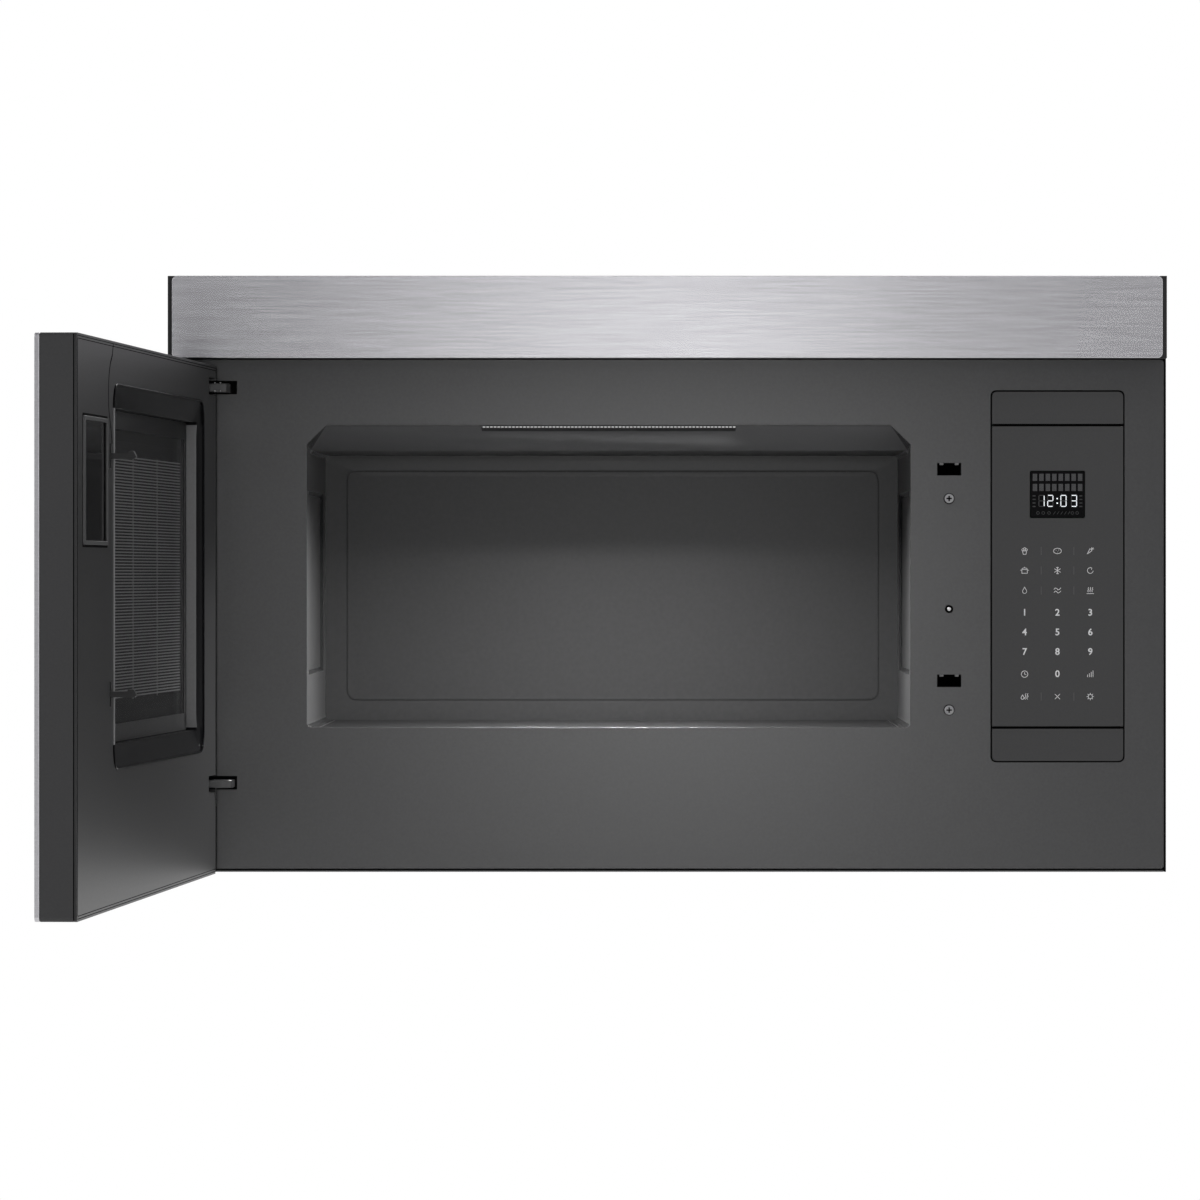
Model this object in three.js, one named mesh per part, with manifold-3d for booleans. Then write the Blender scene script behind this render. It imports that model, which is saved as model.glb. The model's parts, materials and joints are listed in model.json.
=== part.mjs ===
// Over the range microwave with a flush door, modelled with its door standing open.
// Millimetres. X runs to the right seen from the front, Y from the front to the wall, Z up.
// The origin is the centre of the back face, at half height.

import * as THREE from 'three';
import { mergeVertices } from 'three/addons/utils/BufferGeometryUtils.js';
import Module from 'manifold-3d';

const wasm = await Module();
wasm.setup();

// ---------------------------------------------------------------- driving sizes: case
const CASE_WIDTH = 759;
const CASE_HEIGHT = 453;
const CASE_DEPTH = 372; // wall face to the face of the front panel
const SHEET = 1.5; // case and chassis sheet
const FIT = 0.3; // gap between pieces that are seated on each other
const CUT = 2; // how far a cutting shape runs past the face it cuts
const PANEL_FOOT = 2.5; // case foot to the lower edge of the front panel
const PANEL_FLANGE = 12; // depth of the bent edge round the front panel
const PANEL_CORNER = 2.5;
const BACK_FLANGE = 10;
const HANG_SLOT_OFFSET = 150; // case centre to the middle of each hanging slot
const HANG_SLOT_WIDTH = 44;
const HANG_SLOT_HEIGHT = 7;
const HANG_SLOT_LIFT = 14;

// ---------------------------------------------------------------- facets of round forms
const FEW = 10;
const SOME = 14;
const MANY = 24;

// ---------------------------------------------------------------- driving sizes: vent trim
const TRIM_HEIGHT = 62.3;
const TRIM_SIDE_GAP = 4.6; // end of the trim to the case side
const TRIM_TOP_GAP = 0.6; // trim top to case top
const TRIM_PROUD = 30; // trim and door stand this far in front of the panel face
const TRIM_CORNER = 4;
const TRIM_SKIN = 1.2;
const TRIM_RETURN = 4; // bent edge of the stainless skin
const GRILLE_WALL = 2.4;
const GRILLE_SIDE_GAP = 1.2; // grille body to the outer face of the case side
const LOUVRE_COUNT = 26;
const LOUVRE_WIDTH = 20;
const LOUVRE_LENGTH = 17;
const LOUVRE_MARGIN = 18; // last louvre to the end of the grille

// ---------------------------------------------------------------- driving sizes: cavity
const MOUTH_MARGIN_LEFT = 105.2; // case side to the mouth
const MOUTH_MARGIN_RIGHT = 194.6;
const MOUTH_MARGIN_TOP = 50.1; // trim to the top of the mouth
const MOUTH_MARGIN_BOTTOM = 109.8;
const MOUTH_CHAMFER_X = 15;
const MOUTH_CHAMFER_Z = 14.5;
const MOUTH_CORNER = 4;
const CEILING_DROP = 18.5; // how far the flared header falls to the cavity ceiling
const HEADER_DEPTH = 50;
const HEADER_ROOT = 10; // the header solid reaches this far below the ceiling
const CAVITY_BACK = 82; // wall face to the inside of the cavity back
const CAVITY_SHEET = 1.5;
const CAVITY_FLANGE = 9;
const EMBOSS_DEPTH = 2.5;
const EMBOSS_SLOPE = 5;
const SIDE_EMBOSS_DROP = 29; // cavity ceiling to the top of the side emboss
const SIDE_EMBOSS_LIFT = 38; // floor plate to the foot of the side emboss
const SIDE_EMBOSS_FRONT = 24; // panel face to the front of the side emboss
const SIDE_EMBOSS_BACK = 30; // cavity back to the rear of the side emboss
const BACK_EMBOSS_SIDE = 17; // cavity side to the back emboss
const BACK_EMBOSS_TOP = 12;
const BACK_EMBOSS_BOTTOM = 15.5;
const BACK_EMBOSS_CORNER = 12;
const FLOOR_PLATE = 4; // thickness of the ceramic floor plate
const FLOOR_MARGIN_SIDE = 8;
const FLOOR_MARGIN_FRONT = 18;
const FLOOR_MARGIN_BACK = 8;
const FLOOR_LEDGE = 6; // shelf that the plate lies on
const FLOOR_CORNER = 14;
const WELL_RADIUS = 100; // round well under the floor plate for the stirrer
const WELL_DEPTH = 20;
const LIGHT_STRIP_LENGTH = 193.5;
const LIGHT_STRIP_HEIGHT = 1.6;
const LIGHT_STRIP_DEPTH = 5;

// ---------------------------------------------------------------- driving sizes: microwave feed
const STIRRER_RADIUS = 78;
const STIRRER_SHEET = 1.6;
const STIRRER_LIFT = 11; // stirrer blade above the well floor
const STIRRER_SHAFT_RADIUS = 4;
const STIRRER_PORT_RADIUS = 15;
const STIRRER_HUB_RADIUS = 11;
const STIRRER_LARGE_WINDOW = 21;
const STIRRER_LARGE_REACH = 44; // stirrer axis to the middle of each large window
const STIRRER_SMALL_WINDOW = 15.5;
const STIRRER_SMALL_REACH = 48.5;
const STIRRER_NOTCH = 19.5;
const GUIDE_WIDTH = 80; // waveguide, front to back
const GUIDE_HEIGHT = 38;
const GUIDE_OVERRUN = 44; // antenna to the end of the waveguide
const GUIDE_HOLE_GAP = 1.5; // hole edge round the stirrer shaft and the antenna
const MOTOR_RADIUS = 24;
const MOTOR_HEIGHT = 15;
const MOTOR_LUG = 6;
const MAGNETRON_MARGIN = 139.5; // case side to the antenna
const MAGNETRON_WIDTH = 88;
const MAGNETRON_DEPTH = 80;
const MAGNETRON_HEIGHT = 96;
const MAGNETRON_FINS = 5;
const MAGNETRON_PLATE = 4;
const MAGNETRON_FILTER = 22; // height of the filter box on top
const MAGNETRON_CORE_RADIUS = 22;
const ANTENNA_RADIUS = 8;
const ANTENNA_LENGTH = 26;
const FAN_RADIUS = 40;
const FAN_BLADES = 5;
const FAN_BLADE_WIDTH = 20;
const FAN_BLADE_START = 5; // fan axis to the root of each blade, inside the hub
const FAN_BLADE_LENGTH = 42;
const FAN_PITCH = 0.57;
const FAN_HUB_RADIUS = 10;
const FAN_LEG = 8;
const FAN_LIFT = 151.5; // case foot to the fan axis
const FAN_DEPTH = 14;
const FAN_SHROUD_GAP = 3;
const FAN_SHROUD_DEPTH = 22;
const FAN_MOTOR_RADIUS = 19;
const FAN_MOTOR_DEPTH = 26;
const FAN_SHAFT_RADIUS = 3;
const FAN_PLATE_HALF = 50;

// ---------------------------------------------------------------- driving sizes: power parts
const TRANSFORMER_MARGIN = 49.5; // case side to the middle of the transformer
const POWER_SETBACK = 73; // waveguide axis forward to transformer and capacitor
const TRANSFORMER_WIDTH = 64;
const TRANSFORMER_DEPTH = 76;
const TRANSFORMER_HEIGHT = 70;
const TRANSFORMER_STACK = 40; // thickness of the lamination stack
const COIL_PROUD = 14;
const FOOT_THICKNESS = 3;
const FOOT_HOLE_RADIUS = 2.5;
const FOOT_HOLE_INSET = 8;
const CAPACITOR_MARGIN = 111.5; // case side to the middle of the capacitor
const CAPACITOR_WIDTH = 34;
const CAPACITOR_DEPTH = 56;
const CAPACITOR_HEIGHT = 82;
const CAPACITOR_POST_RADIUS = 3;
const CAPACITOR_POST_HEIGHT = 6;
const CAPACITOR_POST_OFFSET = 11;

// ---------------------------------------------------------------- driving sizes: latches
const LATCH_MARGIN = 165.1; // case side to the line of the latches
const LATCH_DROP = 33.6; // mouth top to the upper latch
const LATCH_LIFT = 35.6; // mouth foot to the lower latch
const LATCH_SLOT_WIDTH = 18.1;
const LATCH_SLOT_HEIGHT = 9.4;
const LATCH_POCKET_DEPTH = 24;
const LATCH_WALL = 2.5;
const LATCH_STRIP = 4; // thickness of the strip that joins both pockets
const LATCH_STRIP_MARGIN = 14;
const SCREW_DROP = 22.3; // latch slot centre down to its panel screw
const SCREW_SHANK_RADIUS = 2;
const SCREW_HEAD_RADIUS = 3.5;
const SCREW_HEAD_HEIGHT = 1.3;
const SCREW_RECESS_WIDTH = 1;
const SCREW_RECESS_REACH = 2.1;
const SCREW_RECESS_DEPTH = 0.8;
const SCREW_LENGTH = 14;
const SCREW_BOSS_RADIUS = 5.5;
const PLUNGER_LIFT = 54.6; // lower latch to the sense plunger
const PLUNGER_RADIUS = 1.5;
const PLUNGER_RING_RADIUS = 2.7;
const PLUNGER_GUIDE_RADIUS = 5.4;
const PLUNGER_LENGTH = 24;
const PLUNGER_PROUD = 1.1;
const SWITCH_WIDTH = 10;
const SWITCH_DEPTH = 20;
const SWITCH_HEIGHT = 28;
const SWITCH_PITCH = 9;
const SWITCH_TERMINAL = 2.4;

// ---------------------------------------------------------------- driving sizes: control module
const CONTROL_WIDTH = 101.2;
const CONTROL_MARGIN = 32; // case side to the module
const CONTROL_DROP = 24; // trim to the top of the module
const CONTROL_LIFT = 83.7; // case foot to the foot of the module
const CONTROL_CORNER = 3.8;
const CONTROL_CAP_HEIGHT = 25.9;
const CONTROL_SEAM = 0.5;
const CONTROL_PROUD = 0.8;
const CONTROL_FACE = 3;
const CONTROL_TRAY_DEPTH = 24;
const CONTROL_TRAY_WALL = 2;
const CONTROL_TRAY_INSET = 2.5;
const DISPLAY_INSET = 29.5;
const DISPLAY_WIDTH = 41.9;
const DISPLAY_DROP = 60.9;
const DISPLAY_HEIGHT = 36;
const DISPLAY_CORNER = 1.2;
const BOARD_THICKNESS = 1.6;
const RELAY_SIZE = 18;
const RELAY_GAP = 6;
const RELAY_HEIGHT = 14;
const SUPPLY_WIDTH = 34; // the small transformer on the board
const SUPPLY_HEIGHT = 18;

// ---------------------------------------------------------------- driving sizes: door and hinge
const DOOR_SIDE_GAP = 4.5; // door edge to the case side
const DOOR_DROP = 5.6; // trim foot to the door
const DOOR_OVERHANG = 0.7; // door below the case foot
const DOOR_GAP = 2; // closed door's inner face to the panel face
const DOOR_OPEN_ANGLE = 93.3;
const DOOR_SKIN = 1.2;
const DOOR_SKIN_RETURN = 3.4;
const DOOR_CORNER = 3;
const DOOR_HEEL_RADIUS = 10; // round rear edge beside the hinge, which clears the panel as it turns
const INNER_PANEL = 2;
const HINGE_MARGIN = 18.5; // case side to the hinge pins
const HINGE_SETBACK = 20; // hinge pin in front of the panel face
const HINGE_DROP = 16; // door top to the upper hinge
const HINGE_LIFT = 68.5; // door foot to the lower hinge
const HINGE_PIN_RADIUS = 3;
const HINGE_PIN_CLEARANCE = 0.1;
const HINGE_PIN_GRIP = 14; // pin length inside the frame above and below the notch
const HINGE_ARM_THICKNESS = 4;
const HINGE_EYE_RADIUS = 5;
const HINGE_ARM_WIDTH = 16;
const HINGE_PLATE = 2;
const HINGE_PLATE_MARGIN = 5;
const HINGE_PIN_SIDES = 16; // the same on pin and bore, so that their facets stay clear
const HINGE_SLOT_START = 11; // hinge pins to the panel slots
const HINGE_SLOT_WIDTH = 22.5;
const HINGE_SLOT_HEIGHT = 10;
const HINGE_SLOT_PLAY = 1.5;
const HINGE_PLATE_HEIGHT = 36;
const HINGE_NOTCH_HEIGHT = 13;
const HINGE_NOTCH_PLAY = 2.5; // panel slot to the end of the door notch
const HINGE_NOTCH_SKIN = 1; // frame left in front of each notch
const WINDOW_MARGIN_LEFT = 84; // door edge to the window
const WINDOW_MARGIN_RIGHT = 173;
const WINDOW_MARGIN_TOP = 28;
const WINDOW_MARGIN_BOTTOM = 94.2;
const WINDOW_CORNER = 17;
const SURROUND_SLOPE = 17; // width of the sloped black border
const SURROUND_STEP = 3; // depth at the foot of the slope
const SURROUND_DEPTH = 13.5; // inner face to the window floor
const SURROUND_WALL = 1.5;
const SURROUND_LEDGE = 8;
const SURROUND_CORNER = 15;
const SMALL_CORNER = 3; // least corner radius of the window forms
const PANE_THICKNESS = 1.2;
const SCREEN_THICKNESS = 0.8;
const SCREEN_RIB_PITCH = 8.8;
const LENS_WIDTH = 116;
const LENS_MARGIN = 28; // door edge to the display lens
const LENS_DROP = 54;
const LENS_HEIGHT = 84;
const LENS_DEPTH = 1.2; // lens face below the inner face
const LENS_THICKNESS = 2.5;
const LENS_LEDGE = 4;
const GLASS_THICKNESS = 4;
const GLASS_BORDER_SIDE = 24;
const GLASS_BORDER_TOP = 16;
const GLASS_BORDER_BOTTOM = 46;
const GLASS_CORNER = 6;
const LATCH_BAR_THICKNESS = 3;
const LATCH_BAR_WIDTH = 9;
const LATCH_BAR_OVERRUN = 14; // bar beyond each hook
const HOOK_LENGTH = 18;
const HOOK_WIDTH = 5;
const HOOK_HEIGHT = 4;
const HOOK_TIP = 1.4;
const HOOK_SLOT_WIDTH = 7;
const HOOK_SLOT_HEIGHT = 17;
const HOOK_NOSE = 6; // length of the raised nose at the tip
const LATCH_TRAVEL = 2;
const SPRING_RADIUS = 3;
const SPRING_WIRE = 0.5;
const SPRING_LENGTH = 20;
const SPRING_TURNS = 7;
const SPRING_STEPS = 8; // rings in a turn
const SPRING_SIDES = 5;
const SPRING_CLEARANCE = 0.4;

// ---------------------------------------------------------------- driving sizes: hood blower
const BLOWER_Y = -118;
const BLOWER_DROP = 66.5; // case top to the blower axis
const WHEEL_RADIUS = 44;
const WHEEL_WIDTH = 64;
const WHEEL_BLADES = 16;
const WHEEL_BLADE_CHORD = 9;
const WHEEL_BLADE_THICKNESS = 1.2;
const WHEEL_DISC = 2;
const WHEEL_HUB_RADIUS = 9;
const WHEEL_HUB_LENGTH = 21;
const WHEEL_BLADE_INSET = 0.6; // blade edges inside the rims of disc and ring
const WHEEL_BLADE_SWEEP = 0.12;
const BLOWER_SHAFT_RADIUS = 4;
const SHAFT_CLEARANCE = 0.3;
const SCROLL_RADIUS = 56;
const SCROLL_WALL = 1.5;
const SCROLL_SIDE_GAP = 4;
const SCROLL_INLET_RADIUS = 36;
const SADDLE_HALF = 17; // half width of the feet that stand on the cavity top
const SCROLL_OUTLET_FRONT = 66; // blower axis to the outlet mouth
const SCROLL_OUTLET_HEIGHT = 50;
const BLOWER_MOTOR_RADIUS = 36;
const BLOWER_MOTOR_LENGTH = 76;
const MOTOR_END_BELL = 10;
const MOTOR_BELL_RADIUS = 21.6;
const BLOWER_MOTOR_GAP = 4;
const DUCT_WALL = 1.5;
const CHARCOAL_THICKNESS = 16;
const CHARCOAL_FRAME = 6;
const CHARCOAL_CELLS = 12;
const ROOF_VENT_WIDTH = 254;
const ROOF_VENT_DEPTH = 83;
const ROOF_VENT_BACK = 40;
const BLANK_BORDER = 14;
const SIDE_DUCT_FRONT = 215;
const SIDE_DUCT_BACK = 65;
const SIDE_DUCT_WIDTH = 52;
const SIDE_DUCT_DROP = 76.5;

// ---------------------------------------------------------------- driving sizes: underside
const FILTER_LENGTH = 262;
const FILTER_WIDTH = 146;
const FILTER_THICKNESS = 9;
const FILTER_FRAME = 8;
const FILTER_MARGIN = 35.5; // case side to the outer end of each filter
const FILTER_BACK = 67; // wall face to the rear edge of the filters
const FILTER_LEDGE = 10;
const FILTER_OUTER_LEDGE = 6.3; // narrower, so that a filter slid inward drops out there
const FILTER_CORNER = 4;
const FILTER_RIBS = 9;
const FILTER_PAD = 2.4;
const BASE_FLANGE = 14;
const LAMP_SETBACK = 67; // panel face to the cooktop lamps
const LAMP_LENGTH = 84;
const LAMP_WIDTH = 30;
const LAMP_HEIGHT = 16;
const LAMP_LENS = 2;
const LAMP_BORDER = 5;
const LAMP_CORNER = 5;
const GLAND_MARGIN = 39.5;
const GLAND_Y = -40;
const GLAND_RADIUS = 11;
const GLAND_BORE = 4;
const GLAND_HEIGHT = 22;
const GLAND_COLLAR = 2;
const GLAND_COLLAR_RADIUS = 14;

// ---------------------------------------------------------------- planes worked out from them
const caseRight = CASE_WIDTH / 2;
const caseTop = CASE_HEIGHT / 2;
const caseFoot = -CASE_HEIGHT / 2;
const panelFace = -CASE_DEPTH;
const panelBack = panelFace + SHEET;
const behindPanel = panelBack + FIT;
const panelHalf = caseRight - SHEET - FIT;
const panelFoot = caseFoot + PANEL_FOOT;
const frontFace = panelFace - TRIM_PROUD;
const trimTop = caseTop - TRIM_TOP_GAP;
const trimFoot = trimTop - TRIM_HEIGHT;
const panelTop = trimFoot - FIT;
const mouthTop = trimFoot - MOUTH_MARGIN_TOP;
const ceiling = mouthTop - CEILING_DROP;
const cavityBack = -CAVITY_BACK;
const mouthBottom = caseFoot + MOUTH_MARGIN_BOTTOM;
const floorTop = mouthBottom - FIT;
const floorShelf = floorTop - FLOOR_PLATE - FIT;
const wellFloor = floorShelf - WELL_DEPTH;
const wellUnder = wellFloor - CAVITY_SHEET;
const mouthLeft = MOUTH_MARGIN_LEFT - caseRight;
const mouthRight = caseRight - MOUTH_MARGIN_RIGHT;
const stirrerX = (mouthLeft + mouthRight) / 2;
const stirrerY = (panelFace + cavityBack) / 2;
const guideTop = wellUnder - FIT;
const guideFoot = guideTop - GUIDE_HEIGHT;
const baseTop = caseFoot + SHEET;
const doorHalf = caseRight - DOOR_SIDE_GAP;
const innerFace = panelFace - DOOR_GAP;
const innerPanelFront = innerFace - INNER_PANEL;
const hingeY = panelFace - HINGE_SETBACK;
const latchUpperZ = mouthTop - LATCH_DROP;
const latchLowerZ = mouthBottom + LATCH_LIFT;
const latchCentres = [latchUpperZ, latchLowerZ];
const doorTop = trimFoot - DOOR_DROP;
const hingeUpperZ = doorTop - HINGE_DROP;
const doorBottom = caseFoot - DOOR_OVERHANG;
const hingeLowerZ = doorBottom + HINGE_LIFT;
const hingeHeights = [hingeUpperZ, hingeLowerZ];
const trimWidth = CASE_WIDTH - TRIM_SIDE_GAP * 2;
const sideEmbossTop = ceiling - SIDE_EMBOSS_DROP;
const sideEmbossBottom = floorTop + SIDE_EMBOSS_LIFT;
const magnetronX = caseRight - MAGNETRON_MARGIN;
const guideRight = magnetronX + GUIDE_OVERRUN;
const fanAxisZ = caseFoot + FAN_LIFT;
const transformerX = caseRight - TRANSFORMER_MARGIN;
const transformerY = stirrerY - POWER_SETBACK;
const capacitorX = caseRight - CAPACITOR_MARGIN;
const latchX = caseRight - LATCH_MARGIN;
const plungerZ = latchLowerZ + PLUNGER_LIFT;
const controlRight = caseRight - CONTROL_MARGIN;
const controlLeft = controlRight - CONTROL_WIDTH;
const controlTop = trimFoot - CONTROL_DROP;
const controlBottom = caseFoot + CONTROL_LIFT;
const displayLeft = controlLeft + DISPLAY_INSET;
const displayRight = displayLeft + DISPLAY_WIDTH;
const displayTop = controlTop - DISPLAY_DROP;
const displayBottom = displayTop - DISPLAY_HEIGHT;
const hingeX = HINGE_MARGIN - caseRight;
const hingeSlotLeft = hingeX + HINGE_SLOT_START;
const hingeSlotRight = hingeSlotLeft + HINGE_SLOT_WIDTH;
const hingeNotchRight = hingeSlotRight + HINGE_NOTCH_PLAY;
const windowLeft = WINDOW_MARGIN_LEFT - doorHalf;
const windowRight = doorHalf - WINDOW_MARGIN_RIGHT;
const windowTop = doorTop - WINDOW_MARGIN_TOP;
const windowBottom = doorBottom + WINDOW_MARGIN_BOTTOM;
const lensRight = doorHalf - LENS_MARGIN;
const lensLeft = lensRight - LENS_WIDTH;
const lensTop = doorTop - LENS_DROP;
const lensBottom = lensTop - LENS_HEIGHT;
const blowerZ = caseTop - BLOWER_DROP;
const sideDuctTop = caseTop - SIDE_DUCT_DROP;
const filterInnerGap = caseRight - FILTER_MARGIN - FILTER_LENGTH;
const lampX = caseRight / 2;
const lampY = panelFace + LAMP_SETBACK;
const glandX = caseRight - GLAND_MARGIN;

// ---------------------------------------------------------------- finishes
const FINISHES = {
  blackSheet: { color: 0x1c1c1d, roughness: 0.55, metalness: 0.3 },
  zincSheet: { color: 0x9a9c9c, roughness: 0.45, metalness: 0.8 },
  greyEnamel: { color: 0x4c4c4d, roughness: 0.5, metalness: 0.2 },
  cavityEnamel: { color: 0x454546, roughness: 0.4, metalness: 0.3 },
  stainless: { color: 0xb4b3b6, roughness: 0.32, metalness: 1 },
  darkPlastic: { color: 0x333334, roughness: 0.6, metalness: 0 },
  glossBlack: { color: 0x0b0b0c, roughness: 0.12, metalness: 0 },
  keyPanel: { color: 0x333335, roughness: 0.45, metalness: 0 },
  smokedGlass: { color: 0x101113, roughness: 0.06, metalness: 0 },
  ceramic: { color: 0x3c3c3d, roughness: 0.3, metalness: 0 },
  steel: { color: 0x8f9193, roughness: 0.35, metalness: 1 },
  copper: { color: 0xa4592f, roughness: 0.4, metalness: 0.9 },
  board: { color: 0x1f4a2c, roughness: 0.6, metalness: 0 },
  whitePlastic: { color: 0xe9e9e6, roughness: 0.5, metalness: 0 },
  aluminium: { color: 0xb9bbbd, roughness: 0.4, metalness: 0.9 },
  charcoal: { color: 0x161616, roughness: 0.95, metalness: 0 },
  lampLens: { color: 0xdfe3e6, roughness: 0.2, metalness: 0 },
};

// ---------------------------------------------------------------- solids from three.js shapes
function solidOf(geometry) {
  geometry.deleteAttribute('normal');
  geometry.deleteAttribute('uv');
  const merged = mergeVertices(geometry, 1e-4);
  const vertProperties = new Float32Array(merged.attributes.position.array);
  const triVerts = new Uint32Array(merged.index.array);
  return new wasm.Manifold(new wasm.Mesh({ numProp: 3, vertProperties, triVerts }));
}

function geometryOf(solid) {
  const mesh = solid.getMesh();
  const geometry = new THREE.BufferGeometry();
  geometry.setAttribute('position', new THREE.BufferAttribute(mesh.vertProperties, 3));
  geometry.setIndex(new THREE.BufferAttribute(mesh.triVerts, 1));
  geometry.computeVertexNormals();
  return geometry;
}

function join(...solids) {
  return solids.reduce((whole, piece) => whole.add(piece));
}

function cut(solid, ...tools) {
  return tools.reduce((rest, tool) => rest.subtract(tool), solid);
}

// A block between two corners.
function block(x0, x1, y0, y1, z0, z1) {
  const geometry = new THREE.BoxGeometry(x1 - x0, y1 - y0, z1 - z0);
  geometry.translate((x0 + x1) / 2, (y0 + y1) / 2, (z0 + z1) / 2);
  return solidOf(geometry);
}

// The three directions that an outline can be extruded along: its own x and y become
// the two other axes, in the order that keeps it from being mirrored.
const ALONG = {
  x: new THREE.Matrix4().makeBasis(
    new THREE.Vector3(0, 1, 0),
    new THREE.Vector3(0, 0, 1),
    new THREE.Vector3(1, 0, 0),
  ),
  y: new THREE.Matrix4().makeBasis(
    new THREE.Vector3(1, 0, 0),
    new THREE.Vector3(0, 0, 1),
    new THREE.Vector3(0, -1, 0),
  ),
  z: new THREE.Matrix4(),
};

function extrude(shape, axis, from, to, curveSegments = 2) {
  const options = { depth: to - from, bevelEnabled: false, curveSegments };
  const geometry = new THREE.ExtrudeGeometry(shape, options);
  geometry.applyMatrix4(ALONG[axis]);
  const offset = axis === 'y' ? to : from;
  const shift = { x: [offset, 0, 0], y: [0, offset, 0], z: [0, 0, offset] }[axis];
  geometry.translate(...shift);
  return solidOf(geometry);
}

function polygon(points) {
  return new THREE.Shape(points.map(([x, y]) => new THREE.Vector2(x, y)));
}

// A rectangle with round corners, from its four edges.
function roundedRect(left, right, low, high, radius) {
  const shape = new THREE.Shape();
  shape.moveTo(left + radius, low);
  shape.lineTo(right - radius, low);
  shape.absarc(right - radius, low + radius, radius, -Math.PI / 2, 0);
  shape.lineTo(right, high - radius);
  shape.absarc(right - radius, high - radius, radius, 0, Math.PI / 2);
  shape.lineTo(left + radius, high);
  shape.absarc(left + radius, high - radius, radius, Math.PI / 2, Math.PI);
  shape.lineTo(left, low + radius);
  shape.absarc(left + radius, low + radius, radius, Math.PI, Math.PI * 1.5);
  return shape;
}

function circle(u, v, radius) {
  const shape = new THREE.Shape();
  shape.absarc(u, v, radius, 0, Math.PI * 2);
  return shape;
}

// A round bar along an axis; u and v are its centre on the two other axes.
function rod(axis, u, v, radius, from, to, sides = SOME) {
  return extrude(circle(u, v, radius), axis, from, to, sides / 2);
}

function tube(axis, u, v, outer, inner, from, to, sides) {
  const body = rod(axis, u, v, outer, from, to, sides);
  return cut(body, rod(axis, u, v, inner, from - CUT, to + CUT, sides));
}

// A solid lofted between two outlines with equally many points, given as [x, y, z]. The
// first outline runs anticlockwise for a viewer who looks at it from outside.
function loft(first, last) {
  const count = first.length;
  const positions = [...first, ...last].flat();
  const index = [];
  for (let i = 0; i < count; i += 1) {
    const next = (i + 1) % count;
    index.push(i, count + i, next);
    index.push(next, count + i, count + next);
  }
  for (let i = 1; i < count - 1; i += 1) {
    index.push(0, i, i + 1);
    index.push(count, count + i + 1, count + i);
  }
  const geometry = new THREE.BufferGeometry();
  geometry.setAttribute('position', new THREE.Float32BufferAttribute(positions, 3));
  geometry.setIndex(index);
  return solidOf(geometry);
}

// Points of a round-cornered rectangle in a plane that faces the viewer.
function framePoints(left, right, low, high, radius, y, segments = 3) {
  const shape = roundedRect(left, right, low, high, radius);
  return shape.getPoints(segments).slice(0, -1).map((point) => [point.x, y, point.y]);
}

const model = new THREE.Group();

function addPiece(name, solid, finish, group = model) {
  const material = new THREE.MeshStandardMaterial(FINISHES[finish]);
  const mesh = new THREE.Mesh(geometryOf(solid), material);
  mesh.name = name;
  group.add(mesh);
}

// ---------------------------------------------------------------- case
// Top and both sides are one bent sheet, with the roof vent and the cord hole cut in its top.
function cabinetWrap() {
  const outside = block(-caseRight, caseRight, panelBack, -SHEET - FIT, caseFoot, caseTop);
  const inside = block(
    -caseRight + SHEET,
    caseRight - SHEET,
    panelBack - CUT,
    CUT,
    caseFoot - CUT,
    caseTop - SHEET,
  );
  const vent = block(
    stirrerX - ROOF_VENT_WIDTH / 2,
    stirrerX + ROOF_VENT_WIDTH / 2,
    -ROOF_VENT_BACK - ROOF_VENT_DEPTH,
    -ROOF_VENT_BACK,
    caseTop - SHEET - CUT,
    caseTop + CUT,
  );
  const cordHole = rod(
    'z',
    glandX,
    GLAND_Y,
    GLAND_RADIUS + FIT,
    caseTop - SHEET - CUT,
    caseTop + CUT,
  );
  return cut(outside, inside, vent, cordHole);
}

// The back plate has two hanging slots at its foot and a bent flange all round.
function backPlate() {
  const edge = panelHalf;
  const sheetBody = block(-caseRight, caseRight, -SHEET, 0, caseFoot, caseTop);
  const flange = cut(
    block(-edge, edge, -BACK_FLANGE, -SHEET, baseTop + FIT, caseTop - SHEET - FIT),
    block(
      -edge + SHEET,
      edge - SHEET,
      -BACK_FLANGE - CUT,
      CUT,
      baseTop + FIT + SHEET,
      caseTop - SHEET * 2 - FIT,
    ),
  );
  const slots = [-HANG_SLOT_OFFSET, HANG_SLOT_OFFSET].map((x) => block(
    x - HANG_SLOT_WIDTH / 2,
    x + HANG_SLOT_WIDTH / 2,
    -SHEET - CUT,
    CUT,
    caseFoot + HANG_SLOT_LIFT,
    caseFoot + HANG_SLOT_LIFT + HANG_SLOT_HEIGHT,
  ));
  return cut(join(sheetBody, flange), ...slots);
}

function filterRange(side) {
  const inner = filterInnerGap;
  const outer = filterInnerGap + FILTER_LENGTH;
  return side > 0 ? [inner, outer] : [-outer, -inner];
}

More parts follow.
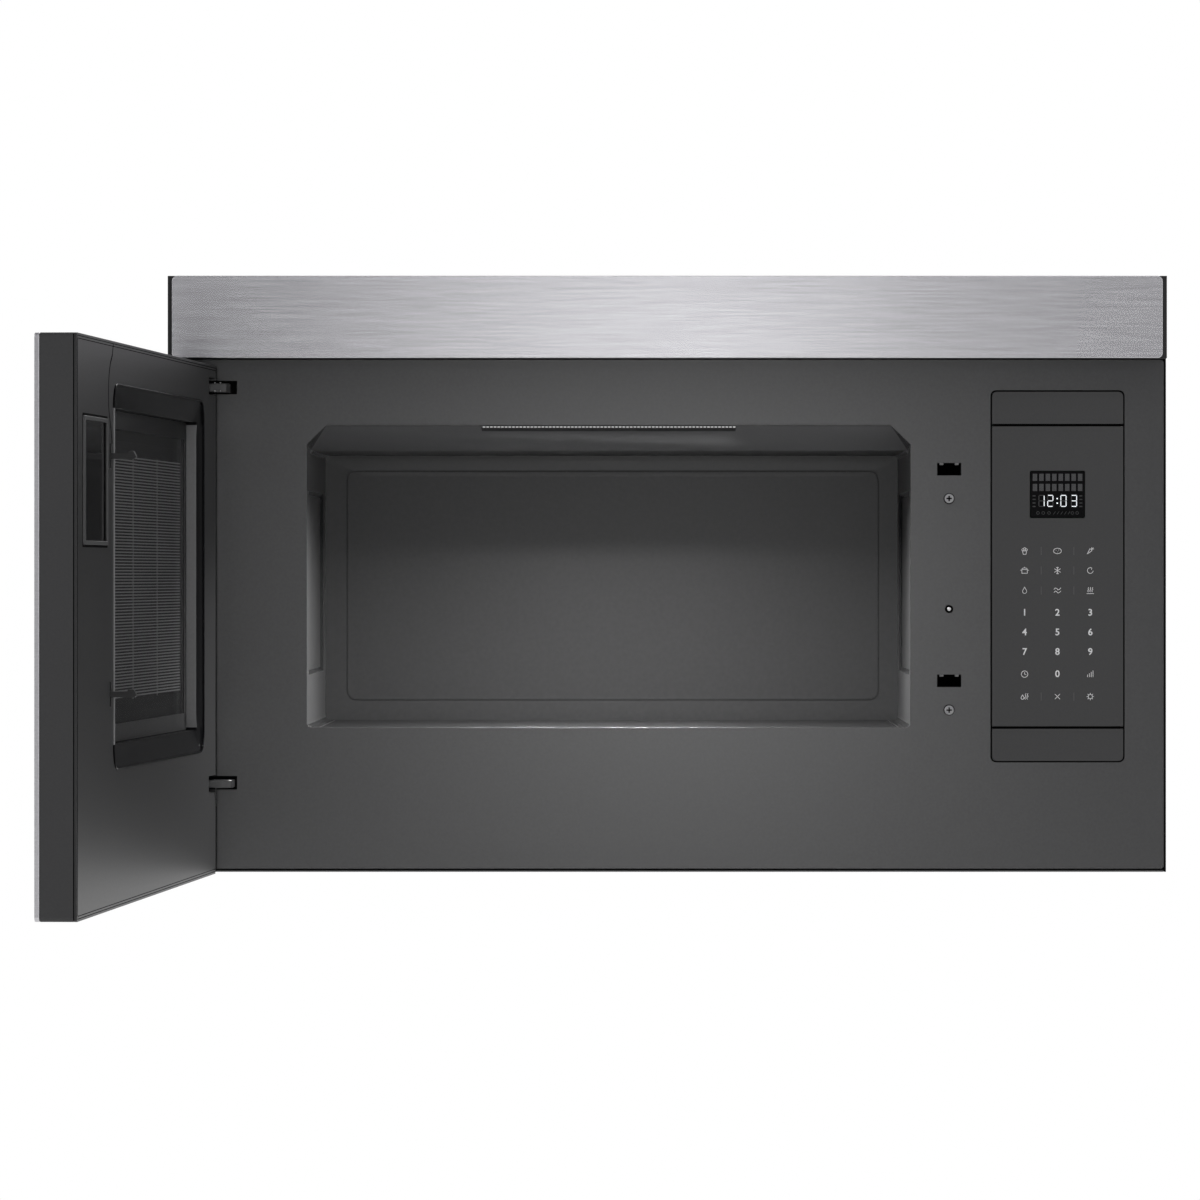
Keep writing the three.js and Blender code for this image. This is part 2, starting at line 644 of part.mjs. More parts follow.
// The base plate carries both filters on narrow ledges and has a window under each lamp.
function basePlate() {
  const edge = panelHalf;
  const front = panelFace + PANEL_FLANGE + FIT;
  const pan = join(
    block(-edge, edge, panelBack, -SHEET - FIT, caseFoot, baseTop),
    block(-edge, edge, front, front + SHEET, caseFoot, baseTop + BASE_FLANGE),
  );
  const windows = [-1, 1].map((side) => {
    const [left, right] = filterRange(side);
    return block(
      left + (side < 0 ? FILTER_OUTER_LEDGE : FILTER_LEDGE),
      right - (side > 0 ? FILTER_OUTER_LEDGE : FILTER_LEDGE),
      -FILTER_BACK - FILTER_WIDTH + FILTER_LEDGE,
      -FILTER_BACK - FILTER_LEDGE,
      caseFoot - CUT,
      baseTop + CUT,
    );
  });
  const lampHoles = [-lampX, lampX].map((x) => extrude(
    roundedRect(
      x - LAMP_LENGTH / 2 + LAMP_BORDER,
      x + LAMP_LENGTH / 2 - LAMP_BORDER,
      lampY - LAMP_WIDTH / 2 + LAMP_BORDER,
      lampY + LAMP_WIDTH / 2 - LAMP_BORDER,
      LAMP_CORNER,
    ),
    'z',
    caseFoot - CUT,
    baseTop + CUT,
  ));
  return cut(pan, ...windows, ...lampHoles);
}

// Outline of the cavity mouth: upper corners cut off, lower corners round.
function mouthShape() {
  const shape = new THREE.Shape();
  shape.moveTo(mouthLeft + MOUTH_CORNER, mouthBottom);
  shape.lineTo(mouthRight - MOUTH_CORNER, mouthBottom);
  shape.absarc(
    mouthRight - MOUTH_CORNER,
    mouthBottom + MOUTH_CORNER,
    MOUTH_CORNER,
    -Math.PI / 2,
    0,
  );
  shape.lineTo(mouthRight, mouthTop - MOUTH_CHAMFER_Z);
  shape.lineTo(mouthRight - MOUTH_CHAMFER_X, mouthTop);
  shape.lineTo(mouthLeft + MOUTH_CHAMFER_X, mouthTop);
  shape.lineTo(mouthLeft, mouthTop - MOUTH_CHAMFER_Z);
  shape.lineTo(mouthLeft, mouthBottom + MOUTH_CORNER);
  shape.absarc(
    mouthLeft + MOUTH_CORNER,
    mouthBottom + MOUTH_CORNER,
    MOUTH_CORNER,
    Math.PI,
    Math.PI * 1.5,
  );
  return shape;
}

// The front panel is a shallow pan that faces forward, pierced for the cavity, the hinge
// arms, the latches, two screws, the plunger and the control module.
function frontPanel() {
  const flangeBack = panelFace + PANEL_FLANGE;
  const body = extrude(
    roundedRect(-panelHalf, panelHalf, panelFoot, panelTop, PANEL_CORNER),
    'y',
    panelFace,
    flangeBack,
    2,
  );
  const hollow = block(
    -panelHalf + SHEET,
    panelHalf - SHEET,
    panelBack,
    flangeBack + CUT,
    panelFoot + SHEET,
    panelTop - SHEET,
  );
  const through = [panelFace - CUT, panelBack + CUT];
  const mouth = extrude(mouthShape(), 'y', ...through, 2);
  const control = extrude(
    roundedRect(
      controlLeft - FIT,
      controlRight + FIT,
      controlBottom - FIT,
      controlTop + FIT,
      CONTROL_CORNER + FIT,
    ),
    'y',
    ...through,
  );
  const latchSlots = latchCentres.map((z) => block(
    latchX - LATCH_SLOT_WIDTH / 2,
    latchX + LATCH_SLOT_WIDTH / 2,
    ...through,
    z - LATCH_SLOT_HEIGHT / 2,
    z + LATCH_SLOT_HEIGHT / 2,
  ));
  const screwHoles = latchCentres.map((z) => rod(
    'y',
    latchX,
    z - SCREW_DROP,
    SCREW_SHANK_RADIUS + FIT,
    ...through,
    FEW,
  ));
  const plungerHole = rod('y', latchX, plungerZ, PLUNGER_RING_RADIUS + FIT, ...through);
  const hingeSlots = hingeHeights.map((z) => block(
    hingeSlotLeft,
    hingeSlotRight,
    ...through,
    z - HINGE_SLOT_HEIGHT / 2,
    z + HINGE_SLOT_HEIGHT / 2,
  ));
  return cut(body, hollow, mouth, control, plungerHole, ...latchSlots, ...screwHoles, ...hingeSlots);
}

// ---------------------------------------------------------------- oven cavity
// Cross-section of the flared header, seen from the front, grown by the sheet outside.
function headerOutline(y, top, chamferX, chamferZ, grow) {
  const root = ceiling - HEADER_ROOT;
  const left = mouthLeft - grow;
  const right = mouthRight + grow;
  const crown = top + grow;
  return [
    [left, y, root],
    [right, y, root],
    [right, y, crown - chamferZ],
    [right - chamferX, y, crown],
    [left + chamferX, y, crown],
    [left, y, crown - chamferZ],
  ];
}

// The flared header: from the mouth's cut corners back and down to the cavity ceiling.
function header(front, grow) {
  const throat = panelFace + HEADER_DEPTH + grow;
  return loft(
    headerOutline(front, mouthTop, MOUTH_CHAMFER_X, MOUTH_CHAMFER_Z, grow),
    headerOutline(throat, ceiling, FIT, FIT, grow),
  );
}

// The shallow pressing in a side wall of the cavity, and the one in its back wall.
function sideEmboss(side, grow) {
  const wall = side > 0 ? mouthRight : mouthLeft;
  const front = panelFace + SIDE_EMBOSS_FRONT - grow;
  const back = cavityBack - SIDE_EMBOSS_BACK + grow;
  const low = sideEmbossBottom - grow;
  const high = sideEmbossTop + grow;
  const inner = wall - side * CUT;
  const outer = wall + side * (EMBOSS_DEPTH + grow);
  const slope = EMBOSS_SLOPE;
  const rim = [
    [inner, front, low],
    [inner, back, low],
    [inner, back, high],
    [inner, front, high],
  ];
  const crest = [
    [outer, front + slope, low + slope],
    [outer, back - slope, low + slope],
    [outer, back - slope, high - slope],
    [outer, front + slope, high - slope],
  ];
  return side < 0 ? loft(rim, crest) : loft(rim.reverse(), crest.reverse());
}

function backEmboss(grow) {
  const left = mouthLeft + BACK_EMBOSS_SIDE - grow;
  const right = mouthRight - BACK_EMBOSS_SIDE + grow;
  const low = mouthBottom + BACK_EMBOSS_BOTTOM - grow;
  const high = ceiling - BACK_EMBOSS_TOP + grow;
  const radius = BACK_EMBOSS_CORNER;
  const inset = EMBOSS_SLOPE;
  return loft(
    framePoints(left, right, low, high, radius, cavityBack - CUT),
    framePoints(
      left + inset,
      right - inset,
      low + inset,
      high - inset,
      radius - inset,
      cavityBack + EMBOSS_DEPTH + grow,
    ),
  );
}

// The whole room of the cavity with the well under its floor, grown by the sheet outside.
function cavityForm(front, grow) {
  const main = extrude(
    roundedRect(
      mouthLeft - grow,
      mouthRight + grow,
      floorTop - grow,
      ceiling + grow,
      MOUTH_CORNER + grow,
    ),
    'y',
    front,
    cavityBack + grow,
    2,
  );
  const pocket = extrude(
    roundedRect(
      mouthLeft + FLOOR_MARGIN_SIDE - FIT - grow,
      mouthRight - FLOOR_MARGIN_SIDE + FIT + grow,
      panelFace + FLOOR_MARGIN_FRONT - FIT - grow,
      cavityBack - FLOOR_MARGIN_BACK + FIT + grow,
      FLOOR_CORNER + grow,
    ),
    'z',
    floorShelf - grow,
    floorTop + CUT,
    2,
  );
  const well = rod('z', stirrerX, stirrerY, WELL_RADIUS + grow, wellFloor - grow, floorShelf + CUT, MANY);
  return join(
    main,
    header(front, grow),
    pocket,
    well,
    sideEmboss(1, grow),
    sideEmboss(-1, grow),
    backEmboss(grow),
  );
}

function ovenCavity() {
  const outside = cavityForm(behindPanel, CAVITY_SHEET);
  const flange = block(
    mouthLeft - CAVITY_FLANGE,
    mouthRight + CAVITY_FLANGE,
    behindPanel,
    behindPanel + CAVITY_SHEET,
    mouthBottom - CAVITY_FLANGE,
    mouthTop + CAVITY_FLANGE,
  );
  const inside = cavityForm(behindPanel - CUT, 0);
  const port = rod(
    'z',
    stirrerX,
    stirrerY,
    STIRRER_PORT_RADIUS,
    wellUnder - CUT,
    wellFloor + CUT,
  );
  return cut(join(outside, flange), inside, port);
}

// The floor plate is one flat sheet of glass ceramic that covers the stirrer.
function floorPlate() {
  return extrude(
    roundedRect(
      mouthLeft + FLOOR_MARGIN_SIDE,
      mouthRight - FLOOR_MARGIN_SIDE,
      panelFace + FLOOR_MARGIN_FRONT,
      cavityBack - FLOOR_MARGIN_BACK,
      FLOOR_CORNER,
    ),
    'z',
    floorTop - FLOOR_PLATE,
    floorTop,
    2,
  );
}

// The light strip sits just inside the top of the mouth, under the header.
function lightStrip() {
  const slope = CEILING_DROP / HEADER_DEPTH;
  const back = panelBack + LIGHT_STRIP_DEPTH;
  const frontTop = mouthTop - SHEET * slope - FIT * 2;
  const backTop = frontTop - LIGHT_STRIP_DEPTH * slope;
  const section = polygon([
    [panelBack, frontTop - LIGHT_STRIP_HEIGHT],
    [back, backTop - LIGHT_STRIP_HEIGHT],
    [back, backTop],
    [panelBack, frontTop],
  ]);
  const half = LIGHT_STRIP_LENGTH / 2;
  return extrude(section, 'x', stirrerX - half, stirrerX + half);
}

// ---------------------------------------------------------------- microwave feed
// A round hole or boss on the stirrer, at a distance from its axis.
function stirrerRod(reach, angle, radius, low, high) {
  const x = stirrerX + reach * Math.cos(angle);
  const y = stirrerY + reach * Math.sin(angle);
  return rod('z', x, y, radius, low, high, FEW);
}

// The stirrer is a sheet rotor with four unequal windows, on a shaft through the waveguide.
function stirrer() {
  const low = wellFloor + STIRRER_LIFT;
  const high = low + STIRRER_SHEET;
  const through = [low - CUT, high + CUT];
  const quarter = Math.PI / 2;
  const disc = rod('z', stirrerX, stirrerY, STIRRER_RADIUS, low, high, MANY);
  const windows = [0, 1, 2, 3].map((i) => {
    const large = i % 2 === 0;
    const reach = large ? STIRRER_LARGE_REACH : STIRRER_SMALL_REACH;
    const radius = large ? STIRRER_LARGE_WINDOW : STIRRER_SMALL_WINDOW;
    return stirrerRod(reach, quarter * (i + 0.5), radius, ...through);
  });
  const notches = [0, Math.PI].map((angle) => (
    stirrerRod(STIRRER_RADIUS, angle, STIRRER_NOTCH, ...through)
  ));
  const hub = rod('z', stirrerX, stirrerY, STIRRER_HUB_RADIUS, low - STIRRER_LIFT / 2, high);
  const shaft = rod('z', stirrerX, stirrerY, STIRRER_SHAFT_RADIUS, guideFoot - SHEET, low);
  return join(cut(disc, ...windows, ...notches), hub, shaft);
}

// The stirrer motor hangs under the waveguide by two lugs.
function stirrerMotor() {
  const top = guideFoot - FIT;
  const body = rod('z', stirrerX, stirrerY, MOTOR_RADIUS, top - MOTOR_HEIGHT, top, MANY);
  const ears = block(
    stirrerX - MOTOR_RADIUS - MOTOR_LUG,
    stirrerX + MOTOR_RADIUS + MOTOR_LUG,
    stirrerY - MOTOR_LUG,
    stirrerY + MOTOR_LUG,
    top - SHEET,
    top,
  );
  const socket = rod('z', stirrerX, stirrerY, STIRRER_SHAFT_RADIUS + FIT, top - SHEET, top + CUT);
  return cut(join(body, ears), socket);
}

// The waveguide is a closed sheet channel from the magnetron to the well under the floor.
function waveguide() {
  const left = stirrerX - GUIDE_WIDTH / 2;
  const outer = block(
    left,
    guideRight,
    stirrerY - GUIDE_WIDTH / 2,
    stirrerY + GUIDE_WIDTH / 2,
    guideFoot,
    guideTop,
  );
  const inner = block(
    left + SHEET,
    guideRight - SHEET,
    stirrerY - GUIDE_WIDTH / 2 + SHEET,
    stirrerY + GUIDE_WIDTH / 2 - SHEET,
    guideFoot + SHEET,
    guideTop - SHEET,
  );
  const roof = [guideTop - SHEET - CUT, guideTop + CUT];
  const foot = [guideFoot - CUT, guideFoot + SHEET + CUT];
  const port = rod('z', stirrerX, stirrerY, STIRRER_PORT_RADIUS, ...roof);
  const shaftHole = rod('z', stirrerX, stirrerY, STIRRER_SHAFT_RADIUS + GUIDE_HOLE_GAP, ...foot);
  const feed = rod('z', magnetronX, stirrerY, ANTENNA_RADIUS + GUIDE_HOLE_GAP, ...roof);
  return cut(outer, inner, port, shaftHole, feed);
}

// The magnetron: a steel yoke round a finned core, with its antenna pointing down and its
// filter box on top.
function magnetron() {
  const low = guideTop + FIT;
  const high = low + MAGNETRON_HEIGHT;
  const yokeTop = high - MAGNETRON_FILTER;
  const plate = MAGNETRON_PLATE;
  const left = magnetronX - MAGNETRON_WIDTH / 2;
  const right = magnetronX + MAGNETRON_WIDTH / 2;
  const front = stirrerY - MAGNETRON_DEPTH / 2;
  const back = stirrerY + MAGNETRON_DEPTH / 2;
  const plates = [low, yokeTop].map((z) => block(left, right, front, back, z, z + plate));
  const sides = [left, right - SHEET].map((x) => block(x, x + SHEET, front, back, low, yokeTop));
  const core = rod('z', magnetronX, stirrerY, MAGNETRON_CORE_RADIUS, low, yokeTop, FEW);
  const step = (yokeTop - low - plate) / (MAGNETRON_FINS + 1);
  const fins = [];
  for (let i = 1; i <= MAGNETRON_FINS; i += 1) {
    const z = low + plate + step * i;
    fins.push(block(left, right, front + plate, back - plate, z, z + SHEET));
  }
  const lid = block(left + plate, right - plate, front + plate, back - plate, yokeTop, high);
  const antenna = rod('z', magnetronX, stirrerY, ANTENNA_RADIUS, low - ANTENNA_LENGTH, low + plate);
  return join(...plates, ...sides, core, ...fins, lid, antenna);
}

// ---------------------------------------------------------------- cooling fan
const fanFront = -SHEET - FIT - FAN_MOTOR_DEPTH - FAN_SHROUD_DEPTH - FAN_SHROUD_GAP;
const fanPlateY = fanFront + FAN_SHROUD_DEPTH;

// A plate on two legs from the back plate, with a ring round the blades.
function fanShroud() {
  const plate = block(
    magnetronX - FAN_PLATE_HALF,
    magnetronX + FAN_PLATE_HALF,
    fanPlateY,
    fanPlateY + SHEET,
    fanAxisZ - FAN_PLATE_HALF,
    fanAxisZ + FAN_PLATE_HALF,
  );
  const inner = FAN_RADIUS + FAN_SHROUD_GAP;
  const ring = rod('y', magnetronX, fanAxisZ, inner + SHEET, fanFront, fanPlateY, MANY);
  const bore = rod(
    'y',
    magnetronX,
    fanAxisZ,
    inner,
    fanFront - CUT,
    fanPlateY + SHEET + CUT,
    MANY,
  );
  const legs = [-FAN_PLATE_HALF, FAN_PLATE_HALF - FAN_LEG].map((x) => block(
    magnetronX + x,
    magnetronX + x + FAN_LEG,
    fanPlateY,
    -SHEET - FIT,
    fanAxisZ - FAN_LEG,
    fanAxisZ + FAN_LEG,
  ));
  return join(cut(join(plate, ring), bore), ...legs);
}

function fanMotor() {
  const back = -SHEET - FIT;
  return rod('y', magnetronX, fanAxisZ, FAN_MOTOR_RADIUS, back - FAN_MOTOR_DEPTH, back, MANY);
}

// One blade: a pitched strip from the hub to beyond the rim, turned to its place.
function fanBlade(turn, middle) {
  const blade = new THREE.BoxGeometry(FAN_BLADE_WIDTH, SHEET, FAN_BLADE_LENGTH);
  blade.rotateZ(FAN_PITCH);
  blade.translate(0, 0, FAN_BLADE_START + FAN_BLADE_LENGTH / 2);
  blade.rotateY(turn);
  blade.translate(magnetronX, middle, fanAxisZ);
  return solidOf(blade);
}

// Pitched blades on a hub, trimmed to a round; the shaft runs back to the motor.
function coolingFan() {
  const middle = fanFront + FAN_SHROUD_DEPTH / 2;
  const front = middle - FAN_DEPTH / 2;
  const back = middle + FAN_DEPTH / 2;
  const shaftEnd = -SHEET - FIT - FAN_MOTOR_DEPTH - FIT;
  const hub = rod('y', magnetronX, fanAxisZ, FAN_HUB_RADIUS, front, back);
  const shaft = rod('y', magnetronX, fanAxisZ, FAN_SHAFT_RADIUS, back - CUT, shaftEnd, FEW);
  const rim = rod('y', magnetronX, fanAxisZ, FAN_RADIUS, front, back, MANY);
  const blades = [];
  for (let i = 0; i < FAN_BLADES; i += 1) {
    blades.push(fanBlade((Math.PI * 2 * i) / FAN_BLADES, middle));
  }
  return join(join(hub, ...blades).intersect(rim), shaft);
}

// ---------------------------------------------------------------- power parts
function transformer() {
  const low = baseTop + FIT;
  const half = TRANSFORMER_WIDTH / 2;
  const deep = TRANSFORMER_DEPTH / 2;
  const stack = TRANSFORMER_STACK / 2;
  const foot = block(
    transformerX - half,
    transformerX + half,
    transformerY - deep,
    transformerY + deep,
    low,
    low + FOOT_THICKNESS,
  );
  const holes = [[-1, -1], [-1, 1], [1, -1], [1, 1]].map(([x, y]) => rod(
    'z',
    transformerX + x * (half - FOOT_HOLE_INSET),
    transformerY + y * (deep - FOOT_HOLE_INSET),
    FOOT_HOLE_RADIUS,
    low - CUT,
    low + FOOT_THICKNESS + CUT,
    FEW,
  ));
  const core = block(
    transformerX - half,
    transformerX + half,
    transformerY - stack,
    transformerY + stack,
    low,
    low + TRANSFORMER_HEIGHT,
  );
  const coil = extrude(
    roundedRect(
      transformerX - half + COIL_PROUD,
      transformerX + half - COIL_PROUD,
      transformerY - stack - COIL_PROUD,
      transformerY + stack + COIL_PROUD,
      COIL_PROUD,
    ),
    'z',
    low + COIL_PROUD / 2,
    low + TRANSFORMER_HEIGHT - COIL_PROUD / 2,
    2,
  );
  return join(cut(foot, ...holes), core, coil);
}

function capacitor() {
  const low = baseTop + FIT;
  const radius = CAPACITOR_WIDTH / 2;
  const can = extrude(
    roundedRect(
      capacitorX - radius,
      capacitorX + radius,
      transformerY - CAPACITOR_DEPTH / 2,
      transformerY + CAPACITOR_DEPTH / 2,
      radius - FIT,
    ),
    'z',
    low,
    low + CAPACITOR_HEIGHT,
    3,
  );
  const posts = [-1, 1].map((side) => rod(
    'z',
    capacitorX,
    transformerY + side * CAPACITOR_POST_OFFSET,
    CAPACITOR_POST_RADIUS,
    low + CAPACITOR_HEIGHT - CUT,
    low + CAPACITOR_HEIGHT + CAPACITOR_POST_HEIGHT,
    FEW,
  ));
  return join(can, ...posts);
}

// ---------------------------------------------------------------- latch housing and switches
const housingRight = latchX + LATCH_SLOT_WIDTH / 2 + LATCH_WALL;

// The pocket of one hook with the boss of its screw, and the holes through both.
function latchPocket(z) {
  const half = LATCH_SLOT_WIDTH / 2;
  const tall = LATCH_SLOT_HEIGHT / 2;
  const wall = LATCH_WALL;
  const back = behindPanel + LATCH_POCKET_DEPTH;
  const screw = z - SCREW_DROP;
  return {
    box: block(
      latchX - half - wall,
      latchX + half + wall,
      behindPanel,
      back,
      z - tall - wall,
      z + tall + wall,
    ),
    boss: rod('y', latchX, screw, SCREW_BOSS_RADIUS, behindPanel, behindPanel + SCREW_LENGTH),
    slot: block(
      latchX - half,
      latchX + half,
      behindPanel - CUT,
      back + CUT,
      z - tall,
      z + tall,
    ),
    screwHole: rod(
      'y',
      latchX,
      screw,
      SCREW_SHANK_RADIUS + FIT,
      behindPanel - CUT,
      behindPanel + SCREW_LENGTH + CUT,
      FEW,
    ),
  };
}

// One moulding behind the panel: a strip, two hook pockets, the screw bosses and the guide
// of the sense plunger, whose nose shows in the panel.
function latchHousing() {
  const half = LATCH_SLOT_WIDTH / 2 + LATCH_WALL;
  const back = behindPanel + LATCH_POCKET_DEPTH;
  const strip = block(
    latchX - half,
    latchX + half,
    behindPanel,
    behindPanel + LATCH_STRIP,
    latchLowerZ - SCREW_DROP - LATCH_STRIP_MARGIN,
    latchUpperZ + LATCH_STRIP_MARGIN,
  );
  const pockets = latchCentres.map(latchPocket);
  const guide = rod('y', latchX, plungerZ, PLUNGER_GUIDE_RADIUS, behindPanel, back);
  const nose = rod('y', latchX, plungerZ, PLUNGER_RING_RADIUS, panelFace, behindPanel + CUT);
  const bore = rod(
    'y',
    latchX,
    plungerZ,
    PLUNGER_RADIUS + FIT,
    panelFace - CUT,
    back + CUT,
    FEW,
  );
  const body = join(strip, guide, nose, ...pockets.flatMap(({ box, boss }) => [box, boss]));
  return cut(body, bore, ...pockets.flatMap(({ slot, screwHole }) => [slot, screwHole]));
}

function sensePlunger() {
  const tip = panelFace - PLUNGER_PROUD;
  return rod('y', latchX, plungerZ, PLUNGER_RADIUS, tip, tip + PLUNGER_LENGTH, FEW);
}

// A small switch beside each hook pocket, with three terminals behind.
function microSwitch(z) {
  const front = behindPanel + FIT;
  const back = front + SWITCH_DEPTH;
  const left = housingRight + FIT;
  const middle = left + SWITCH_WIDTH / 2;
  const half = SWITCH_TERMINAL / 2;
  const body = block(
    left,
    left + SWITCH_WIDTH,
    front,
    back,
    z - SWITCH_HEIGHT / 2,
    z + SWITCH_HEIGHT / 2,
  );
  const terminals = [-SWITCH_PITCH, 0, SWITCH_PITCH].map((offset) => block(
    middle - half,
    middle + half,
    back - half,
    back + SWITCH_TERMINAL * 2,
    z + offset - half,
    z + offset + half,
  ));
  return join(body, ...terminals);
}

// A pan head screw with a cross recess.
function panelScrew(z) {
  const head = panelFace - FIT;
  const face = head - SCREW_HEAD_HEIGHT;
  const recess = [face - CUT, face + SCREW_RECESS_DEPTH];
  const half = SCREW_RECESS_WIDTH / 2;
  const reach = SCREW_RECESS_REACH;
  const cap = rod('y', latchX, z, SCREW_HEAD_RADIUS, face, head, MANY);
  const shank = rod('y', latchX, z, SCREW_SHANK_RADIUS, head - FIT, head + SCREW_LENGTH, FEW);
  const bars = [
    block(latchX - reach, latchX + reach, ...recess, z - half, z + half),
    block(latchX - half, latchX + half, ...recess, z - reach, z + reach),
  ];
  return cut(join(cap, shank), ...bars);
}

// ---------------------------------------------------------------- control module
const controlFace = panelFace - CONTROL_PROUD;
const controlBack = controlFace + CONTROL_FACE;
const upperSeam = controlTop - CONTROL_CAP_HEIGHT;
const lowerSeam = controlBottom + CONTROL_CAP_HEIGHT;

function controlTile(low, high) {
  const whole = extrude(
    roundedRect(controlLeft, controlRight, controlBottom, controlTop, CONTROL_CORNER),
    'y',
    controlFace,
    controlBack,
  );
  const band = block(
    controlLeft - CUT,
    controlRight + CUT,
    controlFace - CUT,
    controlBack + CUT,
    low,
    high,
  );
  return whole.intersect(band);
}

function displayHole(grow, from, to) {
  const shape = roundedRect(
    displayLeft - grow,
    displayRight + grow,
    displayBottom - grow,
    displayTop + grow,
    DISPLAY_CORNER + grow,
  );
  return extrude(shape, 'y', from, to, 3);
}

function keyPanel() {
  const tile = controlTile(lowerSeam + CONTROL_SEAM, upperSeam - CONTROL_SEAM);
  return cut(tile, displayHole(0, controlFace - CUT, controlBack + CUT));
}

function controlTray() {
  const front = controlBack + FIT;
  const inset = CONTROL_TRAY_INSET;
  const wall = CONTROL_TRAY_WALL;
  const back = front + CONTROL_TRAY_DEPTH;
  const outer = block(
    controlLeft + inset,
    controlRight - inset,
    front,
    back,
    controlBottom + inset,
    controlTop - inset,
  );
  const hollow = block(
    controlLeft + inset + wall,
    controlRight - inset - wall,
    front + wall,
    back + CUT,
    controlBottom + inset + wall,
    controlTop - inset - wall,
  );
  return cut(outer, hollow, displayHole(FIT, front - CUT, front + wall + CUT));
}

// The circuit board lies in the tray, with three relays and its supply on its rear face.
function controlBoard() {
  const front = controlBack + CONTROL_TRAY_WALL + FIT * 2;
  const edge = CONTROL_TRAY_INSET + CONTROL_TRAY_WALL + FIT;
  const left = controlLeft + edge;
  const right = controlRight - edge;
  const plate = block(
    left,
    right,
    front,
    front + BOARD_THICKNESS,
    controlBottom + edge,
    controlTop - edge,
  );
  const rear = front + BOARD_THICKNESS - FIT;
  const low = controlBottom + RELAY_SIZE;
  const relays = [0, 1, 2].map((row) => block(
    left + RELAY_GAP,
    left + RELAY_GAP + RELAY_SIZE,
    rear,
    rear + RELAY_HEIGHT,
    low + row * (RELAY_SIZE + RELAY_GAP),
    low + row * (RELAY_SIZE + RELAY_GAP) + RELAY_SIZE,
  ));
  const supply = block(
    right - RELAY_GAP - SUPPLY_WIDTH,
    right - RELAY_GAP,
    rear,
    rear + SUPPLY_HEIGHT,
    low,
    low + SUPPLY_WIDTH,
  );
  return join(plate, ...relays, supply);
}

// ---------------------------------------------------------------- hinge arms
// A flat arm welded to a plate behind the panel. It curves out through the slot to the
// hinge pin, which is riveted in its eye and carries the door frame above and below.
function hingeArm(z) {
  const right = hingeSlotRight - HINGE_SLOT_PLAY;
  const left = right - HINGE_ARM_WIDTH;
  const eyeFront = hingeY - HINGE_EYE_RADIUS;
  const eyeBack = hingeY + HINGE_EYE_RADIUS;
  const shape = new THREE.Shape();
  shape.moveTo(right, behindPanel + SHEET);
  shape.lineTo(left, behindPanel + SHEET);
  shape.lineTo(left, eyeBack + CUT);
  shape.lineTo(hingeX, eyeBack);
  shape.absarc(hingeX, hingeY, HINGE_EYE_RADIUS, Math.PI / 2, Math.PI * 1.5);
  shape.lineTo(left - HINGE_ARM_THICKNESS, eyeFront);
  shape.quadraticCurveTo(right, eyeFront, right, eyeBack);
  const low = z - HINGE_ARM_THICKNESS / 2;
  const arm = extrude(shape, 'z', low, low + HINGE_ARM_THICKNESS, 4);
  const plate = block(
    left - HINGE_PLATE_MARGIN,
    right + HINGE_PLATE_MARGIN,
    behindPanel,
    behindPanel + HINGE_PLATE,
    z - HINGE_PLATE_HEIGHT / 2,
    z + HINGE_PLATE_HEIGHT / 2,
  );
  const reach = HINGE_NOTCH_HEIGHT / 2 + HINGE_PIN_GRIP;
  const pin = rod('z', hingeX, hingeY, HINGE_PIN_RADIUS, z - reach, z + reach, HINGE_PIN_SIDES);
  return join(arm, plate, pin);
}

// ---------------------------------------------------------------- vent trim and grille
// The stainless fascia: a flat face with short returns bent back all round.
function trimSkin() {
  const half = trimWidth / 2;
  const outer = extrude(
    roundedRect(-half, half, trimFoot, trimTop, TRIM_CORNER),
    'y',
    frontFace,
    frontFace + TRIM_RETURN,
    2,
  );
  const inner = extrude(
    roundedRect(
      -half + TRIM_SKIN,
      half - TRIM_SKIN,
      trimFoot + TRIM_SKIN,
      trimTop - TRIM_SKIN,
      TRIM_CORNER - TRIM_SKIN,
    ),
    'y',
    frontFace + TRIM_SKIN,
    frontFace + TRIM_RETURN + CUT,
    2,
  );
  return cut(outer, inner);
}

// The moulded body behind it: a tray with a row of air louvres in its top wall and an
// open back, which the outlet duct blows into.
function ventGrille() {
  const half = caseRight - GRILLE_SIDE_GAP;
  const front = frontFace + TRIM_RETURN + FIT;
  const nose = frontFace + TRIM_SKIN + FIT;
  const back = panelFace - FIT;
  const noseInset = TRIM_SKIN + FIT;
  const trimHalf = trimWidth / 2;
  const outer = join(
    block(-half, half, front, back, trimFoot, trimTop),
    extrude(
      roundedRect(
        -trimHalf + noseInset,
        trimHalf - noseInset,
        trimFoot + noseInset,
        trimTop - noseInset,
        TRIM_CORNER - noseInset / 2,
      ),
      'y',
      nose,
      front + CUT,
      2,
    ),
  );
  const hollow = block(
    -half + GRILLE_WALL,
    half - GRILLE_WALL,
    front + GRILLE_WALL,
    back + CUT,
    trimFoot + GRILLE_WALL,
    trimTop - GRILLE_WALL,
  );
  const span = (half - LOUVRE_MARGIN) * 2;
  const pitch = span / LOUVRE_COUNT;
  const louvreFront = front + GRILLE_WALL + FIT;
  const louvres = [];
  for (let i = 0; i < LOUVRE_COUNT; i += 1) {
    const centre = -half + LOUVRE_MARGIN + pitch * (i + 0.5);
    louvres.push(block(
      centre - LOUVRE_WIDTH / 2,
      centre + LOUVRE_WIDTH / 2,
      louvreFront,
      louvreFront + LOUVRE_LENGTH,
      trimTop - GRILLE_WALL - CUT,
      trimTop + CUT,
    ));
  }
  return cut(outer, hollow, ...louvres);
}

